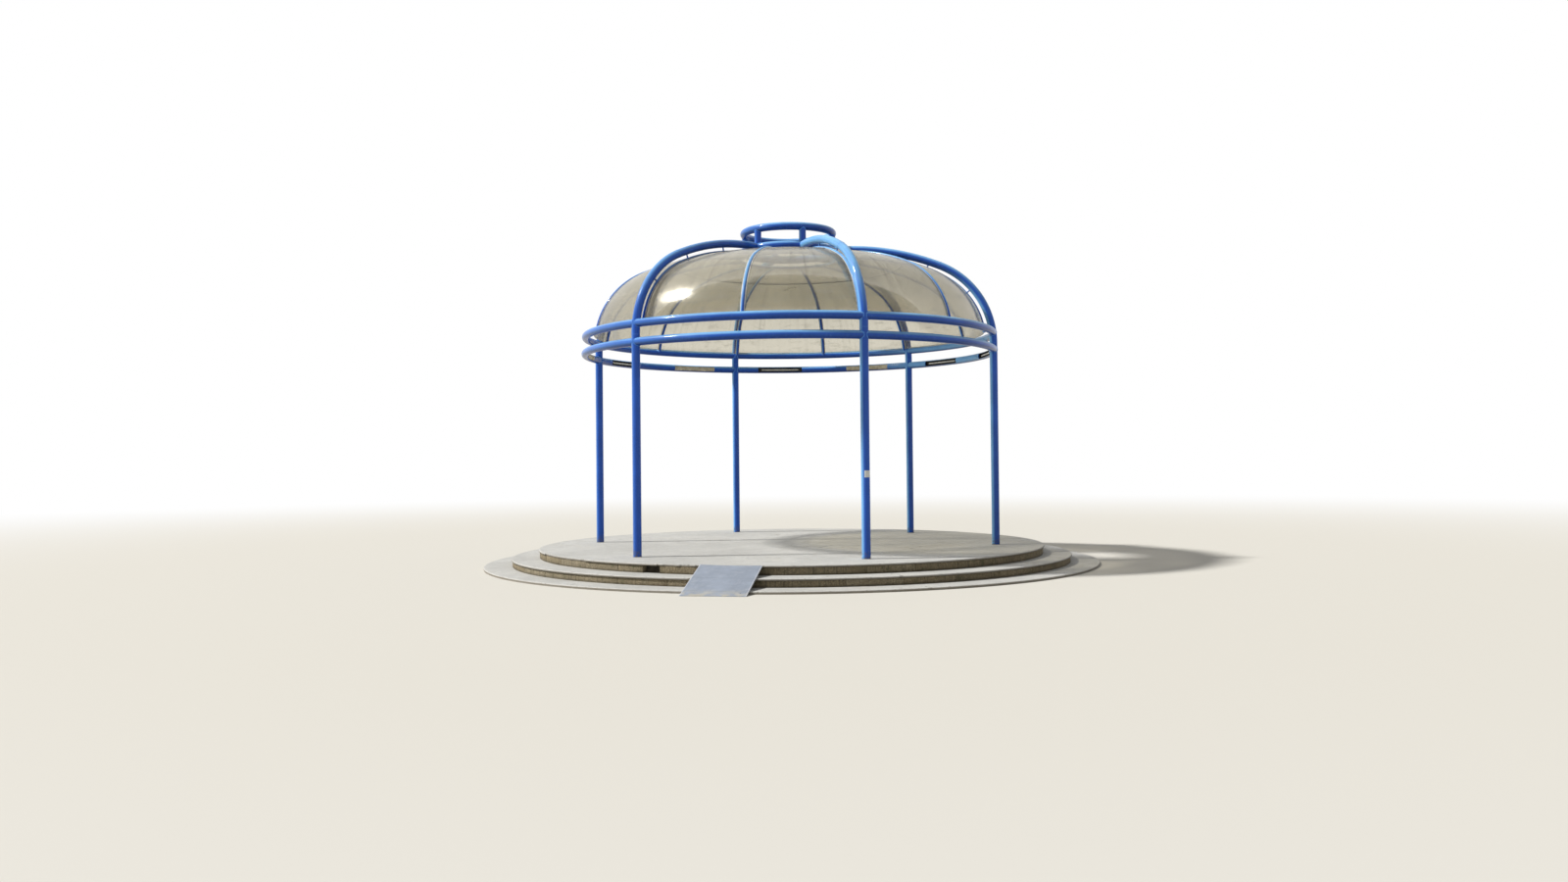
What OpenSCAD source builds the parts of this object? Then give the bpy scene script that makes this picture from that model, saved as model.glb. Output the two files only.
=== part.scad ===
// Open bandstand: a round stepped platform, six bent steel tubes and a glazed dome
// with an open crown.
// Millimetres. +Z is up, the origin is on the ground under the middle of the platform,
// and -Y faces the ramp. Azimuths turn from -Y towards +X.

/* [Platform] */
// Radius of the deck, over its nosing
deck_r = 5025; // [4700:25:5400]
// Depth of each step's tread, nosing to nosing
tread_depth = 518; // [420:2:620]
// Height of the deck above the middle step
deck_rise = 160; // [120:5:200]
// Height of the middle step above the bottom step
middle_rise = 144; // [110:2:190]
// Height of the bottom step above the ground
bottom_rise = 44; // [35:1:90]
// Thickness of the paving slabs on the deck and the steps
slab_t = 30; // [20:1:50]
// How far each slab stands proud of the riser below it
nosing = 22; // [14:1:40]
// Radius of the rounding on top of each nosing
nosing_round = 12; // [4:1:13]
// Thickness of the block ring that carries the deck's edge
riser_block_t = 150; // [90:5:250]
// Width of the block that is missing from the deck's riser
missing_block_w = 335; // [200:5:500]
// Depth of the hole that the missing block leaves
missing_block_depth = 110; // [60:5:140]
// Azimuth of the missing block
missing_block_az = -16; // [-19:0.5:-12]
// Angle of the longer stretch of the deck's edge that has lost its nosing
long_break_angle = 20; // [5:1:24]
// Azimuth of the middle of the longer broken stretch
long_break_az = -44; // [-50:1:-38]
// Angle of the shorter broken stretch, beside the ramp
short_break_angle = 9; // [4:1:12]
// Azimuth of the middle of the shorter broken stretch
short_break_az = -10; // [-14:1:-8]
// How far the broken edges wander in and out
break_wander = 10; // [0:1:14]

/* [Ramp] */
// Width of the ramp
ramp_w = 1040; // [800:10:1400]
// Distance of the ramp to the right of the platform's middle line
ramp_offset = 45; // [-150:5:150]
// Thickness of the ramp's plate
ramp_t = 25; // [12:1:40]
// Height that is left of the plate's edge at the foot
ramp_foot_edge = 8; // [4:1:11]
// Angle by which the ramp lies askew
ramp_skew = 2.5; // [-4:0.5:4]
// Diameter of the fixing hole near the ramp's foot
ramp_hole_d = 22; // [12:1:30]
// Distance of the fixing hole from the ramp's right side
ramp_hole_inset = 115; // [60:5:200]
// Distance of the fixing hole from the ramp's foot
ramp_hole_back = 120; // [100:5:200]

/* [Frame] */
// Radius of the circle that the posts stand on
post_circle_r = 4100; // [3900:10:4400]
// Outer diameter of the posts and of the ribs that carry on from them
post_d = 152; // [140:1:165]
// Gap round each post where it passes through the deck slab
post_hole_gap = 3; // [2:0.5:10]
// Outer diameter of the two ring beams
beam_d = 150; // [125:1:151]
// Height of the lower ring beam's axis above the deck
lower_beam_h = 3828; // [3400:4:4000]
// Height from the lower ring beam's axis to the upper one's
beam_spacing = 335; // [290:5:400]
// Height from the upper ring beam's axis to the top of the ribs' axes
rib_rise = 1759; // [1730:1:1900]
// Radius of the ribs' bend at the eaves
eaves_bend_r = 1700; // [1600:10:1750]
// Angle that the eaves' bend turns through
eaves_turn = 67; // [65:1:70]
// Radius of the ribs' flatter bend over the dome
dome_bend_r = 5000; // [4800:50:5200]
// Distance from a post's axis to the trimmed tips of the beams beside it
beam_tip_trim = 24; // [18:1:40]

/* [Crown] */
// Radius of the crown's two rings, to the tube's axis
crown_r = 900; // [800:10:950]
// Outer diameter of the crown rings' tube
crown_ring_d = 155; // [153:1:175]
// Height between the axes of the crown's two rings
crown_h = 370; // [300:5:500]
// Outer diameter of the six short posts between the rings
crown_post_d = 136; // [80:1:145]

/* [Glazing] */
// Outer diameter of the glazing bars
bar_d = 60; // [48:1:70]
// Clear distance between a rib and the glazing bar under it
stub_gap = 54; // [40:1:80]
// Diameter of the stubs that carry the glazing bars
stub_d = 27; // [16:1:34]
// Radius of the hoop round the open crown, to its tube's axis
hoop_r = 970; // [950:5:1020]
// Outer diameter of the hoop's tube
hoop_d = 64; // [61:1:80]
// Thickness of the dome's panels
panel_t = 10; // [6:1:20]
// Radius of the joint between the upper and the lower panels
panel_joint_r = 2300; // [2050:50:2550]
// Width of that joint
panel_joint_w = 3.4; // [2:0.2:8]
// Height of the panels' lower edge above the upper ring beam's axis
panel_foot_h = 30; // [20:2:60]
// Height of the lowest stubs above the upper ring beam's axis
foot_stub_h = 24; // [20:1:30]
// Angle round the eaves' bend of the stub under each rib
eaves_stub_angle = 40; // [25:1:55]
// Angle round the dome's bend of the lower stub under each rib
dome_stub_angle = 69.5; // [68.5:0.5:74]
// Angle round the dome's bend of the upper stub under each rib
crown_stub_angle = 81; // [77:0.5:85]

/* [Lamps] */
// Angle from a bay's middle to the middle of each lamp
lamp_offset_angle = 15; // [12:0.5:18]
// Half the angle that one lamp's slot spans
slot_half_angle = 7.4; // [7:0.1:8]
// Height of a lamp's slot in the lower ring beam
slot_h = 108; // [90:2:114]
// Depth of a slot, from its mouth's upper edge to its back
slot_depth = 46; // [40:1:60]
// Thickness of a tray's sheet
tray_t = 2; // [1.5:0.5:3]
// Diameter of a lamp's tube
lamp_d = 26; // [16:1:30]
// Length of a lamp's tube
lamp_l = 895; // [700:5:900]
// Width of the lampholders along the tray
holder_w = 22; // [15:1:30]
// Thickness of the covers that are left on some slots
cover_t = 3; // [2:0.5:5]

/* [Hidden] */

// Azimuths of the six posts, and of the middles of the six bays between them
POST_AZ = [-30, 30, 90, 150, 210, 270];
BAY_AZ = [0, 60, 120, 180, 240, 300];
bay_angle = 60;
// Slots that still have their cover, as azimuths
COVERED_AZ = [-15, 45, 165, 225, 285];

// Smoothness of round shapes
$fn = 96;
// Clearance between pieces that meet on a curved face
seat = 0.3;
// Length by which a cutting shape runs past what it cuts
over = 5;

// Levels and radii of the platform
middle_r = deck_r + tread_depth;
bottom_r = middle_r + tread_depth;
bottom_z = bottom_rise;
middle_z = bottom_z + middle_rise;
deck_z = middle_z + deck_rise;
deck_bed_z = deck_z - slab_t;
middle_bed_z = middle_z - slab_t;
deck_riser_r = deck_r - nosing;
middle_riser_r = middle_r - nosing;
block_back_r = deck_riser_r - riser_block_t;

// Levels of the frame
lower_beam_z = deck_z + lower_beam_h;
upper_beam_z = lower_beam_z + beam_spacing;
rib_top_z = upper_beam_z + rib_rise;
crown_top_z = rib_top_z + crown_h;
// Centres of the ribs' two bends, in the rib's own upright plane
eaves_c = [post_circle_r - eaves_bend_r,
           rib_top_z - dome_bend_r * (1 - sin(eaves_turn)) - eaves_bend_r * sin(eaves_turn)];
dome_c = [eaves_c[0] - (dome_bend_r - eaves_bend_r) * cos(eaves_turn),
          rib_top_z - dome_bend_r];
bend_z = eaves_c[1];
// Angle round the dome's bend at which a rib is over the crown's ring
rib_end_angle = 90 + asin((dome_c[0] - crown_r) / dome_bend_r);
// Radius of the upper ring beam, which keeps to the ribs' axes as they bend inwards
upper_beam_angle = asin((upper_beam_z - bend_z) / eaves_bend_r);
upper_beam_r = eaves_c[0] + eaves_bend_r * cos(upper_beam_angle);
beam_half_angle = bay_angle / 2 - asin(beam_tip_trim / post_circle_r);
// Band of weld round the joint between a rib's two bends
weld_w = 14;
weld_proud = 0.2;

// Distance of the glazing's middle surface inside the ribs' axes
glazing_in = post_d / 2 + stub_gap + bar_d / 2;
// Angles round the eaves' bend at which bars and panels start
bar_foot_angle = asin((upper_beam_z - bend_z) / (eaves_bend_r - glazing_in));
panel_foot_angle = asin((upper_beam_z + panel_foot_h - bend_z) / (eaves_bend_r - glazing_in));
foot_stub_angle = asin((upper_beam_z + foot_stub_h - bend_z) / (eaves_bend_r - glazing_in));
hoop_z = rib_top_z - glazing_in;
bar_end_angle = 90 + asin((dome_c[0] - hoop_r) / (dome_bend_r - glazing_in));
panel_end_angle = 90 + asin((dome_c[0] - hoop_r - hoop_d / 2 - seat) / (dome_bend_r - glazing_in));
panel_joint_angle = acos((panel_joint_r - dome_c[0]) / (dome_bend_r - glazing_in));
joint_half_angle = asin(panel_joint_w / 2 / (dome_bend_r - glazing_in));
// The dome's bend is pressed slightly thinner than the eaves' bend, on each face
panel_thinning = 0.2;

// The lamps' places inside the lower ring beam
slot_mouth_r = post_circle_r - sqrt(pow(beam_d / 2, 2) - pow(slot_h / 2, 2));
slot_back_r = slot_mouth_r + slot_depth;
tray_half_angle = slot_half_angle - asin(seat / slot_back_r);
tray_end_angle = tray_half_angle - asin(tray_t / slot_mouth_r);
// The tube's ends stand this far from the tray's back
lamp_back_gap = 2;
lamp_end_r = slot_back_r - tray_t - lamp_back_gap - lamp_d / 2;
lamp_chord_r = sqrt(pow(lamp_end_r, 2) - pow(lamp_l / 2, 2));

// Turns a child from +X to an azimuth
module at_az(az) rotate([0, 0, az - 90]) children();

// Ring of rectangular section between two radii and two levels
module flat_ring(r_in, r_out, z_low, z_high) {
    rotate_extrude()
        translate([r_in, z_low])
            square([r_out - r_in, z_high - z_low]);
}

// Sector of a ring, in the plane, about a centre
module ring_sector(c, r_mid, t, a0, a1) {
    reach = 2 * r_mid;
    translate(c)
        intersection() {
            difference() {
                circle(r = r_mid + t / 2, $fn = 360);
                circle(r = r_mid - t / 2, $fn = 360);
            }
            polygon([[0, 0],
                     reach * [cos(a0), sin(a0)],
                     reach * [cos(a1), sin(a1)]]);
        }
}

// Upright arc of round tube about a centre in the plane of +X and +Z
module bent_tube(c, r_mid, d, a0, a1) {
    translate([c[0], 0, c[1]])
        rotate([90, 0, 0])
            rotate([0, 0, a0])
                rotate_extrude(angle = a1 - a0, $fn = 240)
                    translate([r_mid, 0])
                        circle(d = d, $fn = 48);
}

// Short straight length of tube on an upright arc, centred on one angle
module arc_collar(c, r_mid, d, angle, w) {
    translate([c[0], 0, c[1]])
        rotate([0, 90 - angle, 0])
            translate([-w / 2, 0, r_mid])
                rotate([0, 90, 0])
                    cylinder(h = w, d = d, $fn = 48);
}

// Straight tube along +X
module level_rod(x0, x1, z, d) {
    translate([x0, 0, z])
        rotate([0, 90, 0])
            cylinder(h = x1 - x0, d = d, $fn = 48);
}

// Level arc of round tube about the Z axis, centred on +X
module arc_tube(r_mid, z, d, half_angle) {
    translate([0, 0, z])
        rotate([0, 0, -half_angle])
            rotate_extrude(angle = 2 * half_angle, $fn = 360)
                translate([r_mid, 0])
                    circle(d = d, $fn = 48);
}

// Full ring of round tube about the Z axis
module ring_tube(r_mid, z, d) {
    translate([0, 0, z])
        rotate_extrude($fn = 180)
            translate([r_mid, 0])
                circle(d = d, $fn = 48);
}

// Course of a rib or of a glazing bar: eaves' bend, dome's bend and the weld between them
module rib_course(inset, d, foot_angle, end_angle) {
    bent_tube(eaves_c, eaves_bend_r - inset, d, foot_angle, eaves_turn);
    bent_tube(dome_c, dome_bend_r - inset, d, eaves_turn, end_angle);
    arc_collar(eaves_c, eaves_bend_r - inset, d + 2 * weld_proud, eaves_turn, weld_w);
}

// Ring slab with a rounded nosing, between two radii and two levels
module nosed_ring(r_in, r_out, z_low, z_high) {
    round_r = r_out - nosing_round;
    round_z = z_high - nosing_round;
    rotate_extrude() {
        translate([r_in, z_low])
            square([round_r - r_in, z_high - z_low]);
        translate([r_in, z_low])
            square([r_out - r_in, round_z - z_low]);
        translate([round_r, round_z])
            circle(r = nosing_round);
    }
}

// Concrete mass of the platform, whose edge shows as the middle step's riser
module platform_core() {
    foot_r = middle_riser_r;
    color("dimgray")
        rotate_extrude()
            polygon([[0, 0], [foot_r, 0], [foot_r, middle_bed_z], [block_back_r - seat, middle_bed_z],
                     [block_back_r - seat, deck_bed_z], [0, deck_bed_z]]);
}

// Paving slab of the bottom step, round the core
module bottom_slab() {
    color("lightgray")
        nosed_ring(middle_riser_r + seat, bottom_r, 0, bottom_z);
}

// Paving slab of the middle step, over the core and under the deck's riser
module middle_slab() {
    color("lightgray")
        nosed_ring(block_back_r, middle_r, middle_bed_z, middle_z);
}

// Ring of blocks under the deck's edge, with one block missing from its face
module deck_riser() {
    color("gray")
        difference() {
            flat_ring(block_back_r, deck_riser_r, middle_z, deck_bed_z);
            at_az(missing_block_az)
                translate([deck_riser_r - missing_block_depth, -missing_block_w / 2, middle_z - over])
                    cube([missing_block_depth + over, missing_block_w, deck_bed_z - middle_z + 2 * over]);
        }
}

// How far a broken edge lies from the riser's face, at an angle along it
function wander(angle) =
    break_wander * (0.3 + 0.6 * sin(97 * angle) + 0.4 * sin(211 * angle + 40) + 0.3 * sin(431 * angle));

// Solid that takes a stretch of nosing off the deck's edge and leaves a ragged line
module nosing_break(az, angle) {
    step = 0.4;
    half = angle / 2;
    outer_r = deck_r / cos(half) + over;
    ragged = [for (a = [-half : step : half])
        (deck_riser_r + wander(az + a)) * [cos(a), sin(a)]];
    at_az(az)
        translate([0, 0, deck_bed_z - over])
            linear_extrude(height = slab_t + 2 * over)
                polygon(concat(ragged, [outer_r * [cos(half), sin(half)],
                                        outer_r * [cos(half), -sin(half)]]));
}

// Deck slab, with a hole for each post and two stretches of lost nosing
module deck_slab() {
    color("silver")
        difference() {
            nosed_ring(0, deck_r, deck_bed_z, deck_z);
            for (az = POST_AZ)
                at_az(az)
                    translate([post_circle_r, 0, deck_bed_z - over])
                        cylinder(h = slab_t + 2 * over, d = post_d + 2 * post_hole_gap);
            nosing_break(long_break_az, long_break_angle);
            nosing_break(short_break_az, short_break_angle);
        }
}

// Ramp plate from the deck's edge over the nosings to the ground, bevelled at its foot
module access_ramp() {
    top_d = deck_r * cos(ramp_skew);
    to_middle = (deck_z - ramp_t - middle_z - seat) / (middle_r - top_d);
    to_bottom = (deck_z - ramp_t - bottom_z - seat) / (bottom_r - top_d);
    fall = min(to_middle, to_bottom);
    corner_x = ramp_w / 2 + abs(ramp_offset);
    corner_sag = deck_r - sqrt(pow(deck_r, 2) - pow(corner_x, 2)) + 2 * nosing;
    foot_d = (deck_z - ramp_foot_edge) / fall;
    color("lightsteelblue")
        difference() {
            translate([ramp_offset, -deck_r, 0])
                rotate([0, 0, ramp_skew])
                    difference() {
                        translate([-ramp_w / 2, 0, 0])
                            rotate([90, 0, 90])
                                linear_extrude(height = ramp_w)
                                    polygon([[corner_sag, deck_z + fall * corner_sag],
                                             [-foot_d, ramp_foot_edge],
                                             [-foot_d, 0],
                                             [-(deck_z - ramp_t) / fall, 0],
                                             [corner_sag, deck_z - ramp_t + fall * corner_sag]]);
                        translate([ramp_w / 2 - ramp_hole_inset, -foot_d + ramp_hole_back, -over])
                            cylinder(h = deck_z, d = ramp_hole_d, $fn = 32);
                    }
            translate([0, 0, -over])
                cylinder(h = 2 * deck_z, r = deck_r + seat, $fn = 360);
        }
}

// Straight post, from the core up through the deck slab to the rib's bend
module post(az) {
    color("royalblue")
        at_az(az)
            translate([post_circle_r, 0, deck_bed_z])
                cylinder(h = bend_z - deck_bed_z, d = post_d);
}

// Bent rib, from its post to the crown's base ring
module rib(az) {
    color("royalblue")
        difference() {
            at_az(az)
                rib_course(0, post_d, 0, rib_end_angle);
            ring_tube(crown_r, rib_top_z, crown_ring_d + 2 * seat);
        }
}

// One bay of the upper ring beam
module upper_beam(az) {
    color("royalblue")
        difference() {
            at_az(az)
                arc_tube(upper_beam_r, upper_beam_z, beam_d, beam_half_angle);
            for (side = [-1, 1])
                at_az(az + side * bay_angle / 2)
                    bent_tube(eaves_c, eaves_bend_r, post_d + 2 * seat, 0, 2 * upper_beam_angle);
        }
}

// One bay of the lower ring beam, with two lamp slots in its inner side
module lower_beam(az) {
    color("royalblue")
        difference() {
            at_az(az)
                arc_tube(post_circle_r, lower_beam_z, beam_d, beam_half_angle);
            for (side = [-1, 1])
                at_az(az + side * bay_angle / 2)
                    translate([post_circle_r, 0, lower_beam_z - beam_d])
                        cylinder(h = 2 * beam_d, d = post_d + 2 * seat);
            for (side = [-1, 1])
                at_az(az + side * lamp_offset_angle)
                    lamp_sector(slot_half_angle, post_circle_r - beam_d, slot_back_r, slot_h);
        }
}

// Sector of a ring of rectangular section round the lower beam's axis, centred on +X
module lamp_sector(half_angle, r_in, r_out, h) {
    translate([0, 0, lower_beam_z - h / 2])
        rotate([0, 0, -half_angle])
            rotate_extrude(angle = 2 * half_angle, $fn = 360)
                translate([r_in, 0])
                    square([r_out - r_in, h]);
}

// Sheet tray in a slot, open towards the stage, with a lampholder at each end
module lamp_tray() {
    holder_h = lamp_d + 2 * tray_t;
    difference() {
        lamp_sector(tray_half_angle, slot_mouth_r, slot_back_r - seat, slot_h - 2 * seat);
        difference() {
            lamp_sector(tray_end_angle, slot_mouth_r - over, slot_back_r - tray_t, slot_h - 2 * tray_t);
            for (side = [-1, 1])
                translate([lamp_chord_r - holder_h / 2,
                           side * (lamp_l / 2 + seat + holder_w / 2) - holder_w / 2,
                           lower_beam_z - holder_h / 2])
                    cube([slot_depth, holder_w, holder_h]);
        }
    }
}

// All trays
module lamp_trays() {
    color("black")
        for (bay = BAY_AZ, side = [-1, 1])
            at_az(bay + side * lamp_offset_angle)
                lamp_tray();
}

// Straight tube of each lamp, between its two lampholders
module lamp_tubes() {
    color("ivory")
        for (bay = BAY_AZ, side = [-1, 1])
            at_az(bay + side * lamp_offset_angle)
                translate([lamp_chord_r, lamp_l / 2, lower_beam_z])
                    rotate([90, 0, 0])
                        cylinder(h = lamp_l, d = lamp_d, $fn = 48);
}

// Curved covers that are left on some slots, flush with the beam's round
module lamp_covers() {
    cover_angle = tray_end_angle - asin(seat / slot_mouth_r);
    cover_h = slot_h - 2 * tray_t - 2 * seat;
    color("wheat")
        for (az = COVERED_AZ)
            at_az(az)
                intersection() {
                    difference() {
                        arc_tube(post_circle_r, lower_beam_z, beam_d, slot_half_angle);
                        arc_tube(post_circle_r, lower_beam_z, beam_d - 2 * cover_t, bay_angle / 4);
                    }
                    lamp_sector(cover_angle, post_circle_r - beam_d, post_circle_r, cover_h);
                }
}

// Lower ring of the crown, which the ribs meet
module crown_base_ring() {
    color("royalblue")
        ring_tube(crown_r, rib_top_z, crown_ring_d);
}

// Upper ring of the crown
module crown_top_ring() {
    color("royalblue")
        ring_tube(crown_r, crown_top_z, crown_ring_d);
}

// Short posts between the crown's rings, over the ribs' ends
module crown_posts() {
    color("royalblue")
        difference() {
            for (az = POST_AZ)
                at_az(az)
                    translate([crown_r, 0, rib_top_z])
                        cylinder(h = crown_h, d = crown_post_d, $fn = 48);
            ring_tube(crown_r, rib_top_z, crown_ring_d + 2 * seat);
            ring_tube(crown_r, crown_top_z, crown_ring_d + 2 * seat);
            for (az = POST_AZ)
                at_az(az)
                    bent_tube(dome_c, dome_bend_r, post_d + 2 * seat,
                              rib_end_angle - 3, rib_end_angle);
        }
}

// Hoop round the open crown, which the glazing bars meet
module oculus_hoop() {
    color("royalblue")
        ring_tube(hoop_r, hoop_z, hoop_d);
}

// Glazing bars under the ribs and at the bays' middles
module glazing_bars() {
    color("cornflowerblue")
        difference() {
            for (az = concat(POST_AZ, BAY_AZ))
                at_az(az)
                    rib_course(glazing_in, bar_d, bar_foot_angle, bar_end_angle);
            ring_tube(hoop_r, hoop_z, hoop_d + 2 * seat);
        }
}

// Stub between a rib and its bar, square to a bend at one angle
module rib_stub(c, bend_r, angle) {
    wide = 2 * stub_d / bend_r * 180 / PI;
    difference() {
        translate([c[0], 0, c[1]])
            rotate([0, 90 - angle, 0])
                translate([0, 0, bend_r - glazing_in])
                    cylinder(h = glazing_in, d = stub_d, $fn = 32);
        bent_tube(c, bend_r, post_d + 2 * seat, angle - wide, angle + wide);
        bent_tube(c, bend_r - glazing_in, bar_d + 2 * seat, angle - wide, angle + wide);
    }
}

// Level stub between the upper ring beam and a bay bar's foot
module foot_stub() {
    z = upper_beam_z + foot_stub_h;
    difference() {
        level_rod(post_circle_r - glazing_in - bar_d / 2, upper_beam_r, z, stub_d);
        arc_tube(upper_beam_r, upper_beam_z, beam_d + 2 * seat, 2);
        bent_tube(eaves_c, eaves_bend_r - glazing_in, bar_d + 2 * seat,
                  bar_foot_angle / 2, 2 * bar_foot_angle);
    }
}

// All stubs
module glazing_stubs() {
    color("royalblue") {
        for (az = POST_AZ)
            at_az(az) {
                for (a = [foot_stub_angle, eaves_stub_angle])
                    rib_stub(eaves_c, eaves_bend_r, a);
                for (a = [dome_stub_angle, crown_stub_angle])
                    rib_stub(dome_c, dome_bend_r, a);
            }
        for (az = BAY_AZ)
            at_az(az)
                foot_stub();
    }
}

// Section of the dome's skin: a lower panel with both bends, and an upper panel
module panel_section() {
    eaves_r = eaves_bend_r - glazing_in;
    dome_r = dome_bend_r - glazing_in;
    dome_t = panel_t - 2 * panel_thinning;
    ring_sector(eaves_c, eaves_r, panel_t, panel_foot_angle, eaves_turn);
    ring_sector(dome_c, dome_r, dome_t, eaves_turn - 0.3, panel_joint_angle - joint_half_angle);
    ring_sector(dome_c, dome_r, dome_t, panel_joint_angle + joint_half_angle, panel_end_angle);
}

// One strip of the skin, from a rib's bar to the bay's middle bar, centred on +X
module dome_strip() {
    half_angle = bay_angle / 4;
    bar_half = bar_d / 2 + seat;
    difference() {
        rotate([0, 0, -half_angle])
            rotate_extrude(angle = 2 * half_angle, $fn = 360)
                panel_section();
        for (side = [-1, 1])
            rotate([0, 0, side * half_angle])
                translate([0, -bar_half, 0])
                    cube([2 * post_circle_r, 2 * bar_half, 2 * crown_top_z]);
    }
}

// The panels of one bay, on either side of its middle bar
module dome_panels(az) {
    color("tan", 0.5)
        for (side = [-1, 1])
            at_az(az + side * bay_angle / 4)
                dome_strip();
}

platform_core();
deck_slab();
deck_riser();
middle_slab();
bottom_slab();
access_ramp();
post(POST_AZ[0]);  // post_front_left
post(POST_AZ[1]);  // post_front_right
post(POST_AZ[2]);  // post_right
post(POST_AZ[3]);  // post_back_right
post(POST_AZ[4]);  // post_back_left
post(POST_AZ[5]);  // post_left
rib(POST_AZ[0]);  // rib_front_left
rib(POST_AZ[1]);  // rib_front_right
rib(POST_AZ[2]);  // rib_right
rib(POST_AZ[3]);  // rib_back_right
rib(POST_AZ[4]);  // rib_back_left
rib(POST_AZ[5]);  // rib_left
lower_beam(BAY_AZ[0]);  // lower_beam_front
lower_beam(BAY_AZ[1]);  // lower_beam_front_right
lower_beam(BAY_AZ[2]);  // lower_beam_back_right
lower_beam(BAY_AZ[3]);  // lower_beam_back
lower_beam(BAY_AZ[4]);  // lower_beam_back_left
lower_beam(BAY_AZ[5]);  // lower_beam_front_left
upper_beam(BAY_AZ[0]);  // upper_beam_front
upper_beam(BAY_AZ[1]);  // upper_beam_front_right
upper_beam(BAY_AZ[2]);  // upper_beam_back_right
upper_beam(BAY_AZ[3]);  // upper_beam_back
upper_beam(BAY_AZ[4]);  // upper_beam_back_left
upper_beam(BAY_AZ[5]);  // upper_beam_front_left
crown_base_ring();
crown_top_ring();
crown_posts();
oculus_hoop();
glazing_bars();
glazing_stubs();
dome_panels(BAY_AZ[0]);  // dome_panels_front
dome_panels(BAY_AZ[1]);  // dome_panels_front_right
dome_panels(BAY_AZ[2]);  // dome_panels_back_right
dome_panels(BAY_AZ[3]);  // dome_panels_back
dome_panels(BAY_AZ[4]);  // dome_panels_back_left
dome_panels(BAY_AZ[5]);  // dome_panels_front_left
lamp_trays();
lamp_tubes();
lamp_covers();
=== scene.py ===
from functools import partialmethod
from math import acos, asin, ceil, cos, degrees, pi, radians, sin, sqrt, tan, tau

import bmesh
import bpy
from bpy.props import FloatProperty, FloatVectorProperty, PointerProperty
from mathutils import Matrix, Vector, noise


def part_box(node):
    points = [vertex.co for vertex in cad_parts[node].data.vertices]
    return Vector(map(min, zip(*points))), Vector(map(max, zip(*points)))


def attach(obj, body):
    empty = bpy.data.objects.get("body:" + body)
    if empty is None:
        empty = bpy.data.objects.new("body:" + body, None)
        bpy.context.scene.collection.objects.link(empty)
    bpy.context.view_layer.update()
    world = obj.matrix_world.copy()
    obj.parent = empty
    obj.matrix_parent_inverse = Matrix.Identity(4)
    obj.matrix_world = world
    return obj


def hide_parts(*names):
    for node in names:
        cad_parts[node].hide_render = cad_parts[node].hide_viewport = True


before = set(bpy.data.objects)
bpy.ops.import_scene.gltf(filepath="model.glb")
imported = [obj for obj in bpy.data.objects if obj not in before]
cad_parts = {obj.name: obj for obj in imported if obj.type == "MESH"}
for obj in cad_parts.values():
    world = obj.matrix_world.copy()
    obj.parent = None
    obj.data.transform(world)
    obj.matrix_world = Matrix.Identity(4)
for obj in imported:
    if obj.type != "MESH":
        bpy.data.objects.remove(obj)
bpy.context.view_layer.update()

bl_info = {
    "name": "Glazed Park Bandstand",
    "version": (1, 0, 0),
    "blender": (4, 5, 0),
    "location": "View3D > Sidebar > Bandstand",
    "description": "Dresses a round stepped bandstand with painted steel tubes and a tinted dome",
    "category": "Object",
}

BODY = "root"
SIDES = ("front_left", "front_right", "right", "back_right", "back_left", "left")
POST_AZIMUTHS = (-30, 30, 90, 150, 210, 270)
BAYS = ("front", "front_right", "back_right", "back", "back_left", "front_left")
BAY_AZIMUTHS = (0, 60, 120, 180, 240, 300)
# Angles between faces, in degrees, from which an edge shows
WELD_EDGE = 60
WORN_EDGE = 35
# Clearance between a thin piece and what carries it
CLEAR = 0.0002
# Height of the floor, just below the platform's underside
FLOOR_Z = -0.001
WHITE = (1, 1, 1, 1)
UPRIGHT = (0, 0, 1)
# A spin by more than this is a whole turn
WHOLE_TURN = tau - 1e-6
# Degrees of arc to one facet of a block, and least angle between the faces at a block's edge
BLOCK_FACET = 1.7
CORNER = 30
# Steps round a fine weld or a seal, and sides of its bead
STUB_BEAD = (20, 5)
BAR_BEAD = (28, 5)
SEAL_BEAD = (48, 8)
# Colour of the key light, a little warmer than white
WARM = (1.0, 0.98, 0.95)


def srgb(red, green, blue):
    """A colour written as 0 to 255, as the shader's own linear numbers."""
    def linear(part):
        part /= 255
        return part / 12.92 if part <= 0.04045 else ((part + 0.055) / 1.055) ** 2.4
    return (linear(red), linear(green), linear(blue), 1.0)


def size(node, axis):
    """Length of a frame node along one axis."""
    low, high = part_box(node)
    return high[axis] - low[axis]


def middle(node, axis):
    """Middle of a frame node along one axis."""
    low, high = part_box(node)
    return (high[axis] + low[axis]) / 2


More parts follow.
